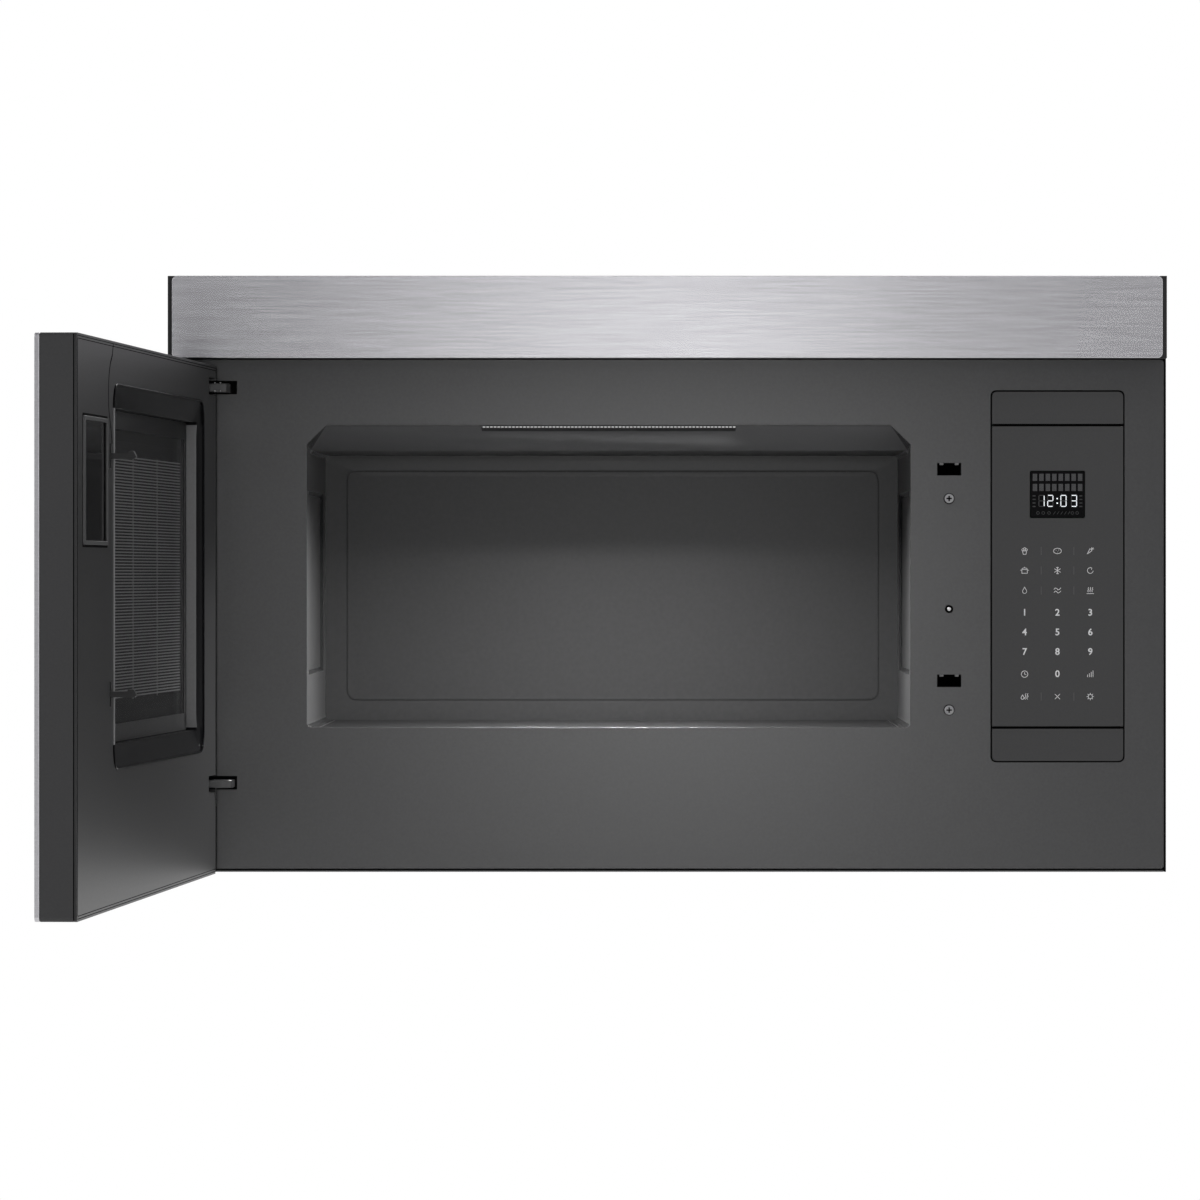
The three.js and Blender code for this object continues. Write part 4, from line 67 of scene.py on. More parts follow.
# ---------------------------------------------------------------- view and studio
# A long lens stands 5.3 m in front of the panel, square to it and level with its middle.
# The picture is framed a little to the left and below the object's middle.
CAMERA_PLACE = (0, -5.683, 0)
FILM_WIDTH = 36
FOCAL_LENGTH = 209.4
FRAME_SHIFT = (-0.0561, -0.0215)
FARTHEST = 60
camera = bpy.data.objects.new("camera", bpy.data.cameras.new("camera"))
scene.collection.objects.link(camera)
camera.location = CAMERA_PLACE
camera.rotation_euler = (math.pi / 2, 0, 0)
camera.data.sensor_width = FILM_WIDTH
camera.data.lens = FOCAL_LENGTH
camera.data.shift_x, camera.data.shift_y = FRAME_SHIFT
camera.data.clip_end = FARTHEST
scene.camera = camera
scene.view_settings.view_transform = "Standard"
SHEET_SIZE = 16
FLOOR_PLACE = (0, 0, -1.1)
BACKDROP_PLACE = (0, 14, 10)
MATT_WHITE = (0.82, 0.82, 0.82, 1)
GLOW_UNDER_OBJECT = 0.86


def studio_white(name, near, far):
    """Pale matt paint that the camera, metal and glass see as white, but for a shadow nearby."""
    paint = bpy.data.materials.new(name)
    paint.use_nodes = True
    tree = paint.node_tree
    tree.nodes.clear()
    out = tree.nodes.new("ShaderNodeOutputMaterial")
    mix = tree.nodes.new("ShaderNodeMixShader")
    matt = tree.nodes.new("ShaderNodeBsdfDiffuse")
    glow = tree.nodes.new("ShaderNodeEmission")
    rays = tree.nodes.new("ShaderNodeLightPath")
    seen = tree.nodes.new("ShaderNodeMath")
    seen.operation = "MAXIMUM"
    through = tree.nodes.new("ShaderNodeMath")
    through.operation = "MAXIMUM"
    where = tree.nodes.new("ShaderNodeTexCoord")
    reach = tree.nodes.new("ShaderNodeVectorMath")
    reach.operation = "LENGTH"
    fade = tree.nodes.new("ShaderNodeMapRange")
    fade.interpolation_type = "SMOOTHSTEP"
    fade.inputs["From Min"].default_value = near
    fade.inputs["From Max"].default_value = far
    fade.inputs["To Min"].default_value = GLOW_UNDER_OBJECT
    part = tree.nodes.new("ShaderNodeMath")
    part.operation = "MULTIPLY"
    matt.inputs["Color"].default_value = MATT_WHITE
    tree.links.new(rays.outputs["Is Camera Ray"], seen.inputs[0])
    tree.links.new(rays.outputs["Is Glossy Ray"], seen.inputs[1])
    tree.links.new(seen.outputs[0], through.inputs[0])
    tree.links.new(rays.outputs["Is Transmission Ray"], through.inputs[1])
    tree.links.new(where.outputs["Object"], reach.inputs[0])
    tree.links.new(reach.outputs["Value"], fade.inputs["Value"])
    tree.links.new(through.outputs[0], part.inputs[0])
    tree.links.new(fade.outputs["Result"], part.inputs[1])
    tree.links.new(part.outputs[0], mix.inputs[0])
    tree.links.new(matt.outputs[0], mix.inputs[1])
    tree.links.new(glow.outputs[0], mix.inputs[2])
    tree.links.new(mix.outputs[0], out.inputs["Surface"])
    return paint


def studio_sheet(name, place, turn, paint):
    """A flat sheet of the stage, turned about X and set in its place."""
    form = bmesh.new()
    bmesh.ops.create_grid(form, x_segments=1, y_segments=1, size=SHEET_SIZE)
    bmesh.ops.transform(form, matrix=Matrix.Rotation(turn, 4, "X"), verts=form.verts)
    bmesh.ops.translate(form, vec=place, verts=form.verts)
    mesh = bpy.data.meshes.new(name)
    form.to_mesh(mesh)
    form.free()
    mesh.materials.append(paint)
    sheet = bpy.data.objects.new(name, mesh)
    scene.collection.objects.link(sheet)


studio_sheet("floor", FLOOR_PLACE, 0, studio_white("floor_white", 0.9, 1.9))
studio_sheet("backdrop", BACKDROP_PLACE, math.pi / 2, studio_white("backdrop_white", 0, 0.001))

ROOM_COLOUR = (0.97, 0.97, 1, 1)
ROOM_LIGHT = 0.31
sky = bpy.data.worlds.new("studio")
sky.use_nodes = True
scene.world = sky
air = sky.node_tree
air.nodes.clear()
air_out = air.nodes.new("ShaderNodeOutputWorld")
air_mix = air.nodes.new("ShaderNodeMixShader")
air_rays = air.nodes.new("ShaderNodeLightPath")
air_seen = air.nodes.new("ShaderNodeMath")
air_seen.operation = "MAXIMUM"
soft = air.nodes.new("ShaderNodeBackground")
soft.inputs["Color"].default_value = ROOM_COLOUR
soft.inputs["Strength"].default_value = ROOM_LIGHT
white = air.nodes.new("ShaderNodeBackground")
white.inputs["Strength"].default_value = 1
air.links.new(air_rays.outputs["Is Camera Ray"], air_seen.inputs[0])
air.links.new(air_rays.outputs["Is Transmission Ray"], air_seen.inputs[1])
air.links.new(air_seen.outputs[0], air_mix.inputs[0])
air.links.new(soft.outputs[0], air_mix.inputs[1])
air.links.new(white.outputs[0], air_mix.inputs[2])
air.links.new(air_mix.outputs[0], air_out.inputs["Surface"])


def softbox(name, place, target, width, height, watts, spread=180):
    """A soft rectangular lamp that faces a point, its light spread over so many degrees."""
    lamp = bpy.data.lights.new(name, "AREA")
    lamp.shape = "RECTANGLE"
    lamp.size = width
    lamp.size_y = height
    lamp.energy = watts
    lamp.spread = math.radians(spread)
    box = bpy.data.objects.new(name, lamp)
    box.location = place
    box.rotation_euler = (Vector(target) - Vector(place)).to_track_quat("-Z", "Y").to_euler()
    box.visible_camera = False
    scene.collection.objects.link(box)


softbox("view_box", (0, -5.9, -0.06), (0, 0, -0.02), 0.5, 0.5, 5.15)
softbox("key_box", (-0.05, -3.2, 0.95), (0, -0.3, 0), 2.4, 0.5, 3)
softbox("low_box", (0.1, -3.3, -0.85), (0, -0.3, 0), 2.6, 0.4, 1.5)
softbox("fill_box", (2.5, -4.6, 0.5), (0, -0.3, 0), 2.0, 2.0, 13)
softbox("top_box", (0.5, -3.4, 3.3), (0, -0.2, 0), 2.2, 2.0, 18)
softbox("left_box", (-3.6, -2.2, 1.6), (0, -0.2, 0), 2.0, 2.0, 20)
softbox("right_box", (3.6, -2.2, 1.2), (0, -0.2, 0), 2.0, 2.0, 16)
softbox("rear_box", (0.6, 3.8, 3.0), (0, 0, 0), 2.6, 2.0, 60)

# ---------------------------------------------------------------- case
# The outer case is one folded sheet of steel with a zinc coated plate behind it. The sheet
# is sprayed satin black, the plates under and behind it are left plain or painted grey.
GRAIN_DETAIL = 4
PATCH_SIZE = 7
PATCH_DETAIL = 2
PATCH_SHARE = 0.35
TONE_RANGE = (0.42, 0.92)
SMOOTHEST = 0.02
CORNER_ANGLE = 32
FLAT_WEIGHT = 80
WELD_DISTANCE = 2e-6
FLAT_ANGLE = 0.01


def finish(name, colour, roughness, metal=0.0, grain=(1, 1, 1), turn=0.0, size=90.0, mottle=0.08,
           spread=0.06, relief=0.04, depth=0.0002, **gloss):
    """A worked surface: colour, gloss and relief wander a little along its grain."""
    made = bpy.data.materials.new(name)
    made.use_nodes = True
    tree = made.node_tree
    skin = tree.nodes["Principled BSDF"]
    where = tree.nodes.new("ShaderNodeTexCoord")
    lay = tree.nodes.new("ShaderNodeMapping")
    lay.vector_type = "TEXTURE"
    lay.inputs["Rotation"].default_value = (0, 0, turn)
    lay.inputs["Scale"].default_value = [1 / share for share in grain]
    fine = tree.nodes.new("ShaderNodeTexNoise")
    fine.inputs["Scale"].default_value = size
    fine.inputs["Detail"].default_value = GRAIN_DETAIL
    broad = tree.nodes.new("ShaderNodeTexNoise")
    broad.inputs["Scale"].default_value = PATCH_SIZE
    broad.inputs["Detail"].default_value = PATCH_DETAIL
    blend = tree.nodes.new("ShaderNodeMath")
    blend.operation = "MULTIPLY_ADD"
    blend.inputs[1].default_value = PATCH_SHARE
    tone = tree.nodes.new("ShaderNodeMapRange")
    tone.inputs["From Min"].default_value = TONE_RANGE[0]
    tone.inputs["From Max"].default_value = TONE_RANGE[1]
    ramp = tree.nodes.new("ShaderNodeMix")
    ramp.data_type = "RGBA"
    ramp.inputs["A"].default_value = (*[c * (1 - mottle) for c in colour], 1)
    ramp.inputs["B"].default_value = (*[min(c * (1 + mottle), 1) for c in colour], 1)
    rough = tree.nodes.new("ShaderNodeMapRange")
    rough.inputs["To Min"].default_value = max(roughness - spread, SMOOTHEST)
    rough.inputs["To Max"].default_value = min(roughness + spread, 1)
    bump = tree.nodes.new("ShaderNodeBump")
    bump.inputs["Strength"].default_value = relief
    bump.inputs["Distance"].default_value = depth
    tree.links.new(where.outputs["Object"], lay.inputs["Vector"])
    tree.links.new(lay.outputs["Vector"], fine.inputs["Vector"])
    tree.links.new(where.outputs["Object"], broad.inputs["Vector"])
    tree.links.new(broad.outputs["Fac"], blend.inputs[0])
    tree.links.new(fine.outputs["Fac"], blend.inputs[2])
    tree.links.new(blend.outputs[0], tone.inputs["Value"])
    tree.links.new(tone.outputs["Result"], ramp.inputs["Factor"])
    tree.links.new(ramp.outputs["Result"], skin.inputs["Base Color"])
    tree.links.new(fine.outputs["Fac"], rough.inputs["Value"])
    tree.links.new(rough.outputs["Result"], skin.inputs["Roughness"])
    tree.links.new(fine.outputs["Fac"], bump.inputs["Height"])
    tree.links.new(bump.outputs["Normal"], skin.inputs["Normal"])
    skin.inputs["Metallic"].default_value = metal
    for socket, value in gloss.items():
        skin.inputs[socket.replace("_", " ")].default_value = value
    return made


def settle(name, form, material, body="root", corner=30):
    """Turns a finished bmesh into a piece, shaded by its corners, that rides on a body if one is given."""
    for face in form.faces:
        face.smooth = True
    mesh = bpy.data.meshes.new(name)
    form.to_mesh(mesh)
    form.free()
    if "custom_normal" in mesh.attributes:
        mesh.attributes.remove(mesh.attributes["custom_normal"])
    mesh.set_sharp_from_angle(angle=math.radians(corner))
    mesh.materials.append(material)
    piece = bpy.data.objects.new(name, mesh)
    scene.collection.objects.link(piece)
    if body:
        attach(piece, body)
    return piece


def ease(piece, width, segments=2):
    """Eases the sharp edges of a piece, as folded or moulded edges are."""
    edge = piece.modifiers.new("eased edge", "BEVEL")
    edge.width = width
    edge.segments = segments
    edge.limit_method = "ANGLE"
    edge.angle_limit = math.radians(CORNER_ANGLE)
    flats = piece.modifiers.new("flat faces stay flat", "WEIGHTED_NORMAL")
    flats.weight = FLAT_WEIGHT
    flats.keep_sharp = True
    return piece


def copy_of(node):
    """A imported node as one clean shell, its flat faces whole."""
    form = bmesh.new()
    form.from_mesh(nodes[node].data)
    bmesh.ops.remove_doubles(form, verts=form.verts, dist=WELD_DISTANCE)
    bmesh.ops.dissolve_limit(form, angle_limit=FLAT_ANGLE, verts=form.verts, edges=form.edges)
    return form


def show(node, form, material, width, segments=2):
    """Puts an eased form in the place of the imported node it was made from."""
    piece = settle(node + "_shown", form, material, nodes[node]["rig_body"])
    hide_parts(node)
    return ease(piece, width, segments)


def ease_edges(node, width, material, segments=2):
    """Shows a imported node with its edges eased."""
    return show(node, copy_of(node), material, width, segments)


def dress(material, *names):
    """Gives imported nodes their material."""
    for name in names:
        nodes[name].data.materials.clear()
        nodes[name].data.materials.append(material)


satin_black = finish("satin_black_paint", (0.014, 0.014, 0.015), 0.42, size=420, mottle=0.12,
                     relief=0.08)
zinc_sheet = finish("zinc_coated_sheet", (0.5, 0.51, 0.52), 0.42, metal=1, size=38, mottle=0.12,
                    spread=0.1)
grey_bake = finish("grey_baked_paint", (0.05, 0.05, 0.051), 0.46, size=420, mottle=0.1, relief=0.08)
# A near black, almost unglossy copy of the paint for the front edges of the wrap: painted shade along the
# edge.
wrap_edge_painted_shade = finish("shaded_sheet_edge", (0.003, 0.003, 0.003), 0.6, size=420, mottle=0.12,
                    Specular_IOR_Level=0.05)
WRAP_FRONT = -0.3695
wrap = copy_of("cabinet_wrap")
for face in wrap.faces:
    if face.calc_center_median().y < WRAP_FRONT and face.normal.y < -0.5:
        face.material_index = 1
show("cabinet_wrap", wrap, satin_black, 0.0003).data.materials.append(wrap_edge_painted_shade)
ease_edges("back_plate", 0.0005, zinc_sheet)
ease_edges("base_plate", 0.0006, grey_bake)

# ---------------------------------------------------------------- front panel
# A shallow steel pan in dark grey satin enamel, cut out for the mouth, the control module,
# two hinge arms, two latch hooks, two screws and the nose of the door plunger.
panel_enamel = finish("dark_grey_enamel", (0.048, 0.048, 0.0487), 0.21, size=520, mottle=0.07,
                      relief=0.03, spread=0.02, Specular_IOR_Level=0.6)
ease_edges("front_panel", 0.0006, panel_enamel)

# ---------------------------------------------------------------- oven cavity
# A drawn and welded steel box in baked dark enamel. Its floor is one flat sheet of glass
# ceramic, and a black rail for the lamps lies behind the top edge of its mouth.
cavity_enamel = finish("cavity_enamel", (0.032, 0.032, 0.0325), 0.24, size=300, mottle=0.08,
                       relief=0.008, spread=0.01, Specular_IOR_Level=0.34)
# Lighter copies of the dark cavity enamel for the header, the side walls and the ceiling: painted light,
# standing in for the light that falls on these faces.
header_enamel = finish("header_enamel", (0.125, 0.125, 0.127), 0.45, size=520, mottle=0.07,
                       relief=0.03, spread=0.02)
side_wall_painted_light_enamel = finish("cavity_side_enamel", (0.092, 0.092, 0.093), 0.3, size=300, mottle=0.08,
                     relief=0.008, spread=0.01)
ceiling_enamel = finish("ceiling_enamel", (0.088, 0.088, 0.089), 0.45, size=520, mottle=0.07,
                        relief=0.03, spread=0.02)
HEADER, SIDE, CEILING = 1, 2, 3
CAVITY_X = -0.0447
WALL_REACH = 0.2385
BACK_EMBOSS_Y = -0.0799
EMBOSS_EASE = 0.0012
HEADER_BACK = -0.3215
HEADER_FOOT = 0.09
cavity = copy_of("oven_cavity")
for vert in cavity.verts:
    if vert.co.y > BACK_EMBOSS_Y:
        vert.co.y -= EMBOSS_EASE
# Faces of the header, the ceiling and the side walls take the lighter copies: painted light.
for face in cavity.faces:
    middle = face.calc_center_median()
    if middle.y < HEADER_BACK and middle.z > HEADER_FOOT and face.normal.y < -0.2:
        face.material_index = HEADER
    elif face.normal.z < -0.9 and middle.z > HEADER_FOOT:
        face.material_index = CEILING
    elif abs(face.normal.x) > 0.9 and abs(middle.x - CAVITY_X) < WALL_REACH:
        face.material_index = SIDE
cavity_shown = show("oven_cavity", cavity, cavity_enamel, 0.0008, 3)
for enamel in (header_enamel, side_wall_painted_light_enamel, ceiling_enamel):
    cavity_shown.data.materials.append(enamel)
ceramic = finish("dark_glass_ceramic", (0.024, 0.024, 0.0245), 0.22, size=900, mottle=0.2,
                 relief=0.01)
ease_edges("cavity_floor_plate", 0.0008, ceramic)
lamp_rail = finish("lamp_rail_black", (0.012, 0.012, 0.012), 0.5, size=600, mottle=0.15, relief=0.1)
ease_edges("cavity_light_strip", 0.0002, lamp_rail)


def block(form, low, high):
    """A plain block between two corners."""
    middle = [(a + b) / 2 for a, b in zip(low, high)]
    spans = [b - a for a, b in zip(low, high)]
    size = Matrix.Diagonal((*spans, 1))
    return bmesh.ops.create_cube(form, size=1, matrix=Matrix.Translation(middle) @ size)["verts"]


def rounded_plate(form, low, high, radius, steps=6):
    """A flat plate that faces forward, its four corners rounded."""
    verts = block(form, low, high)
    corners = {edge for vert in verts for edge in vert.link_edges
               if abs(edge.verts[0].co.y - edge.verts[1].co.y) > 1e-5}
    bmesh.ops.bevel(form, geom=list(corners), offset=radius, segments=steps, profile=0.5,
                    affect="EDGES", material=-1)


def hollow(form, width):
    """Turns a rounded plate that faces forward into a frame of one width."""
    faces = [face for face in form.faces if abs(face.normal.y) > 0.9]
    bmesh.ops.inset_individual(form, faces=faces, thickness=width)
    rims = list({edge for face in faces for edge in face.edges})
    bmesh.ops.delete(form, geom=faces, context="FACES_ONLY")
    bmesh.ops.bridge_loops(form, edges=rims)
    bmesh.ops.recalc_face_normals(form, faces=form.faces)


# A thin dark ring round the foot of the back wall's emboss: painted shade along the step.
emboss_painted_shade_enamel = finish("emboss_foot_enamel", (0.018, 0.018, 0.0183), 0.3, size=300, mottle=0.08,
                       relief=0.008, Specular_IOR_Level=0.2)
EMBOSS_SHADE_LOW = (-0.2573, -0.0822, -0.1013)
EMBOSS_SHADE_HIGH = (0.1698, -0.0820, 0.0831)
EMBOSS_SHADE_CORNER = 0.008
EMBOSS_SHADE_WIDTH = 0.0010
emboss_shade_ring = bmesh.new()
rounded_plate(emboss_shade_ring, EMBOSS_SHADE_LOW, EMBOSS_SHADE_HIGH, EMBOSS_SHADE_CORNER)
hollow(emboss_shade_ring, EMBOSS_SHADE_WIDTH)
settle("cavity_emboss_foot", emboss_shade_ring, emboss_painted_shade_enamel)

# ---------------------------------------------------------------- lamp cells
# One row of small white lamp cells is set in the rail behind the top of the mouth. The lamp
# below them gives the light that they throw down and back into the cavity.
glowing = finish("glowing_lamp_cell", (0.62, 0.62, 0.62), 0.3, size=260, relief=0.1,
                 Emission_Color=(1, 1, 1, 1), Emission_Strength=0.4)
CELL_PITCH = 0.0028
CELL_WIDTH = 0.0018
CELL_COUNT = 69
FIRST_CELL = -0.1404
CELL_DEPTH = (-0.3708, -0.3704)
CELL_RISE = (0.1117, 0.1124)
cells = bmesh.new()
for step in range(CELL_COUNT):
    left = FIRST_CELL + step * CELL_PITCH
    block(cells, (left, CELL_DEPTH[0], CELL_RISE[0]), (left + CELL_WIDTH, CELL_DEPTH[1], CELL_RISE[1]))
settle("light_strip_cells", cells, glowing)
softbox("cavity_lamp_row", (CAVITY_X, -0.3655, 0.1085), (CAVITY_X, -0.3500, -0.12), 0.19, 0.008,
        3.3, spread=147)

# ---------------------------------------------------------------- latches, plunger, screws
# One dark moulding behind the panel guides both latch hooks and the white sense plunger.
# Two pan head screws with cross recesses hold it to the panel.
moulding = finish("dark_moulded_plastic", (0.013, 0.013, 0.0135), 0.5, size=700, mottle=0.12,
                  relief=0.12, Specular_IOR_Level=0.3)
# Near black, almost unglossy plastic: the dark moulding's own black, deepened as painted shade for the
# pockets, recesses and rings that use it.
painted_shade_black = finish("pocket_black_plastic", (0.002, 0.002, 0.002), 0.7, size=700, mottle=0.12,
                      relief=0.12, Specular_IOR_Level=0.02)
# Near black for the door's real seams, and painted shade in the gaps round the control module, in the
# hinge slots and round the display lens.
seam_black = finish("seam_black", (0.002, 0.002, 0.002), 0.7, size=500, mottle=0.15, relief=0.1,
                    Specular_IOR_Level=0.02)
white_plastic = finish("white_moulded_plastic", (0.86, 0.86, 0.85), 0.4, size=500, relief=0.05)
bright_steel = finish("bright_steel", (0.42, 0.425, 0.43), 0.3, metal=1, size=160, spread=0.1)
dull_steel = finish("dull_screw_steel", (0.33, 0.33, 0.335), 0.45, metal=0.3, size=400, mottle=0.15)
RECESS_RADIUS = 0.0021
SCREW_SHADE_RADII = (0.0034, 0.0042)
PLUNGER_SHADE_RADII = (0.00155, 0.0027)
POCKET_HALF = (0.0105, 0.0068)
POCKET_BACK = 0.0010
TAB_OFFSET = 0.0058
TAB_HALF = 0.0015
TAB_RISE = (0.0031, 0.0048)
LATCH_X = 0.2144
LATCH_ROWS = (0.0799, -0.0811)
SCREW_ROWS = (0.0575, -0.1033)
PLUNGER_Z = -0.0265
PANEL_FACE = -0.372
SCREW_TOP = -0.3735
HOUSING_BACK = -0.3461
dress(painted_shade_black, "latch_housing", "interlock_switch_upper", "interlock_switch_lower")
ease_edges("door_sense_plunger", 0.0005, white_plastic, 3)
# The faces in each screw's cross recess take the near black: painted shade in the recess.
for node, row in zip(("panel_screw_upper", "panel_screw_lower"), SCREW_ROWS):
    screw = copy_of(node)
    for face in screw.faces:
        middle = face.calc_center_median()
        if math.hypot(middle.x - LATCH_X, middle.z - row) < RECESS_RADIUS and middle.y > SCREW_TOP:
            face.material_index = 1
    show(node, screw, dull_steel, 0.0002).data.materials.append(painted_shade_black)


def ring(form, centre, radii, low, high, sides=32):
    """A flat washer round a point, between an inner and an outer radius, its axis along Y."""
    rounds = []
    for y in (low, high):
        for radius in radii:
            place = Matrix.Translation((centre[0], y, centre[1])) @ Matrix.Rotation(math.pi / 2, 4, "X")
            made = bmesh.ops.create_circle(form, segments=sides, radius=radius, matrix=place)
            rounds.append({edge for vert in made["verts"] for edge in vert.link_edges})
    low_inner, low_outer, high_inner, high_outer = rounds
    for one, other in ((low_inner, low_outer), (low_outer, high_outer), (high_outer, high_inner),
                       (high_inner, low_inner)):
        bmesh.ops.bridge_loops(form, edges=list(one | other))
    bmesh.ops.recalc_face_normals(form, faces=form.faces)


# A near black ring round each screw head on the panel: painted shade round the head.
screw_shade_rings = bmesh.new()
for row in SCREW_ROWS:
    ring(screw_shade_rings, (LATCH_X, row), SCREW_SHADE_RADII, PANEL_FACE - 0.0004, PANEL_FACE - 0.00002)
settle("screw_washers", screw_shade_rings, painted_shade_black)
# A near black ring round the plunger's nose: painted shade in the hole round it.
plunger_shade_ring = bmesh.new()
ring(plunger_shade_ring, (LATCH_X, PLUNGER_Z), PLUNGER_SHADE_RADII, PANEL_FACE - 0.0003, PANEL_FACE + 0.0012)
settle("plunger_bush", plunger_shade_ring, painted_shade_black)
# Near black plates at the back of each latch pocket: painted shade inside the pockets.
pocket_shade_backs = bmesh.new()
tabs = bmesh.new()
for row in LATCH_ROWS:
    block(pocket_shade_backs, (LATCH_X - POCKET_HALF[0], HOUSING_BACK, row - POCKET_HALF[1]),
          (LATCH_X + POCKET_HALF[0], HOUSING_BACK + POCKET_BACK, row + POCKET_HALF[1]))
    for middle in (LATCH_X - TAB_OFFSET, LATCH_X + TAB_OFFSET):
        block(tabs, (middle - TAB_HALF, PANEL_FACE + 0.0001, row + TAB_RISE[0]),
              (middle + TAB_HALF, PANEL_FACE + 0.0008, row + TAB_RISE[1]))
ease(settle("latch_pocket_backs", pocket_shade_backs, painted_shade_black), 0.0003)
tab_grey = finish("pocket_tab_grey", (0.15, 0.15, 0.15), 0.5, size=500, mottle=0.1)
ease(settle("latch_pocket_tabs", tabs, tab_grey), 0.0003)

# ---------------------------------------------------------------- hinge arms
# Each arm is flat steel in dark paint, welded to a plate behind the panel. It comes out of a slot and
# holds the door's pin in its eye; a near black plate behind each slot is painted shade in the slot.
hinge_paint = finish("hinge_grey_paint", (0.026, 0.026, 0.0265), 0.32, size=420, mottle=0.12,
                     relief=0.05)
ARM_ROWS = {"hinge_arm_upper": 0.1420, "hinge_arm_lower": -0.1587}
ARM_SWELLS = {"hinge_arm_upper": (0.0007, 0.0021, 0.45), "hinge_arm_lower": (0.0006, 0.0013, 1)}
ARM_HALF = 0.0025
ARM_BEND_X = -0.3345
SLOT_SHADE_LEFT, SLOT_SHADE_RIGHT = -0.3512, -0.3262
SLOT_SHADE_DEPTH = (-0.3708, -0.3704)
SLOT_SHADE_HALF = 0.0056
RIVET_COLUMNS = (-0.3427, -0.3385)
RIVET_ROWS = (0.1450, 0.1388)
RIVET_DEPTH = -0.3968
RIVET_RADIUS = 0.0006
LEG_PLACE = (-0.3432, -0.37285, -0.1697)
LEG_RADII = (0.0002, 0.0005)
LEG_LENGTH = 0.014
for node, middle in ARM_ROWS.items():
    above, below, share = ARM_SWELLS[node]
    arm = copy_of(node)
    for vert in arm.verts:
        rise = vert.co.z - middle
        if abs(rise) < ARM_HALF:
            vert.co.z += above if rise > 0 else -below
        if vert.co.x > ARM_BEND_X:
            vert.co.x = ARM_BEND_X + share * (vert.co.x - ARM_BEND_X)
    show(node, arm, hinge_paint, 0.0009, 3)
# A near black plate behind each hinge slot: painted shade in the slot.
hinge_slot_shade_plates = bmesh.new()
for middle in ARM_ROWS.values():
    block(hinge_slot_shade_plates, (SLOT_SHADE_LEFT, SLOT_SHADE_DEPTH[0], middle - SLOT_SHADE_HALF),
          (SLOT_SHADE_RIGHT, SLOT_SHADE_DEPTH[1], middle + SLOT_SHADE_HALF))
settle("hinge_slot_linings", hinge_slot_shade_plates, seam_black)
rivets = bmesh.new()
for x in RIVET_COLUMNS:
    for z in RIVET_ROWS:
        bmesh.ops.create_uvsphere(rivets, u_segments=10, v_segments=6, radius=RIVET_RADIUS,
                                  matrix=Matrix.Translation((x, RIVET_DEPTH, z)))
settle("hinge_rivets", rivets, bright_steel, corner=60)
leg = bmesh.new()
bmesh.ops.create_cone(leg, cap_ends=True, segments=12, radius1=LEG_RADII[0], radius2=LEG_RADII[1],
                      depth=LEG_LENGTH, matrix=Matrix.Translation(LEG_PLACE))
settle("hinge_spring_leg", leg, bright_steel)

# ---------------------------------------------------------------- control module
# A matt key panel between two plain caps, set in the panel with a black gap round each.
# The tiles are moulded plates that clip to a tray. Where the tray shows through the gaps, it and a frame
# and bars behind the gaps are near black: painted shade in the gaps.
key_panel = finish("matt_key_panel", (0.034, 0.034, 0.0345), 0.46, size=900, mottle=0.1, relief=0.08,
                   spread=0.04)
MODULE_X = 0.2969
MODULE_HALF = 0.0506
TILE_GAP = 0.00065
TILE_FACE = -0.3728
EDGE_BAND = 0.005


def tile(node):
    """A plate of the control module, drawn in by half a gap on every side."""
    form = copy_of(node)
    heights = [vert.co.z for vert in form.verts]
    middle = (min(heights) + max(heights)) / 2
    half = (max(heights) - min(heights)) / 2
    for vert in form.verts:
        across = vert.co.x - MODULE_X
        up = vert.co.z - middle
        if abs(across) > MODULE_HALF - EDGE_BAND:
            vert.co.x -= math.copysign(TILE_GAP, across)
        if abs(up) > half - EDGE_BAND:
            vert.co.z -= math.copysign(TILE_GAP, up)
    show(node, form, key_panel, 0.0003)


for node in ("control_upper_cap", "control_key_panel", "control_lower_cap"):
    tile(node)
# The tray takes the near black as painted shade, where it shows through the gaps.
dress(seam_black, "control_tray")
circuit_green = finish("circuit_board", (0.02, 0.09, 0.035), 0.5, size=220, mottle=0.4)
dress(circuit_green, "control_board")
# A near black frame round the module and bars behind the joints between the tiles: painted shade in the
# gaps.
GAP_SHADE_LOW = (0.24555, -0.3716, -0.14355)
GAP_SHADE_HIGH = (0.34825, -0.3704, 0.14035)
GAP_SHADE_CORNER = 0.0045
GAP_SHADE_WIDTH = 0.0016
SEAM_LEFT, SEAM_RIGHT = 0.2472, 0.3466
SEAM_ROWS = (0.11345, -0.11665)
SEAM_HALF = 0.0006
module_gap_shade = bmesh.new()
rounded_plate(module_gap_shade, GAP_SHADE_LOW, GAP_SHADE_HIGH, GAP_SHADE_CORNER)
hollow(module_gap_shade, GAP_SHADE_WIDTH)
settle("module_gasket", module_gap_shade, seam_black)
joint_shade_bars = bmesh.new()
for row in SEAM_ROWS:
    block(joint_shade_bars, (SEAM_LEFT, GAP_SHADE_LOW[1], row - SEAM_HALF), (SEAM_RIGHT, GAP_SHADE_HIGH[1], row + SEAM_HALF))
settle("module_seam_bars", joint_shade_bars, seam_black)

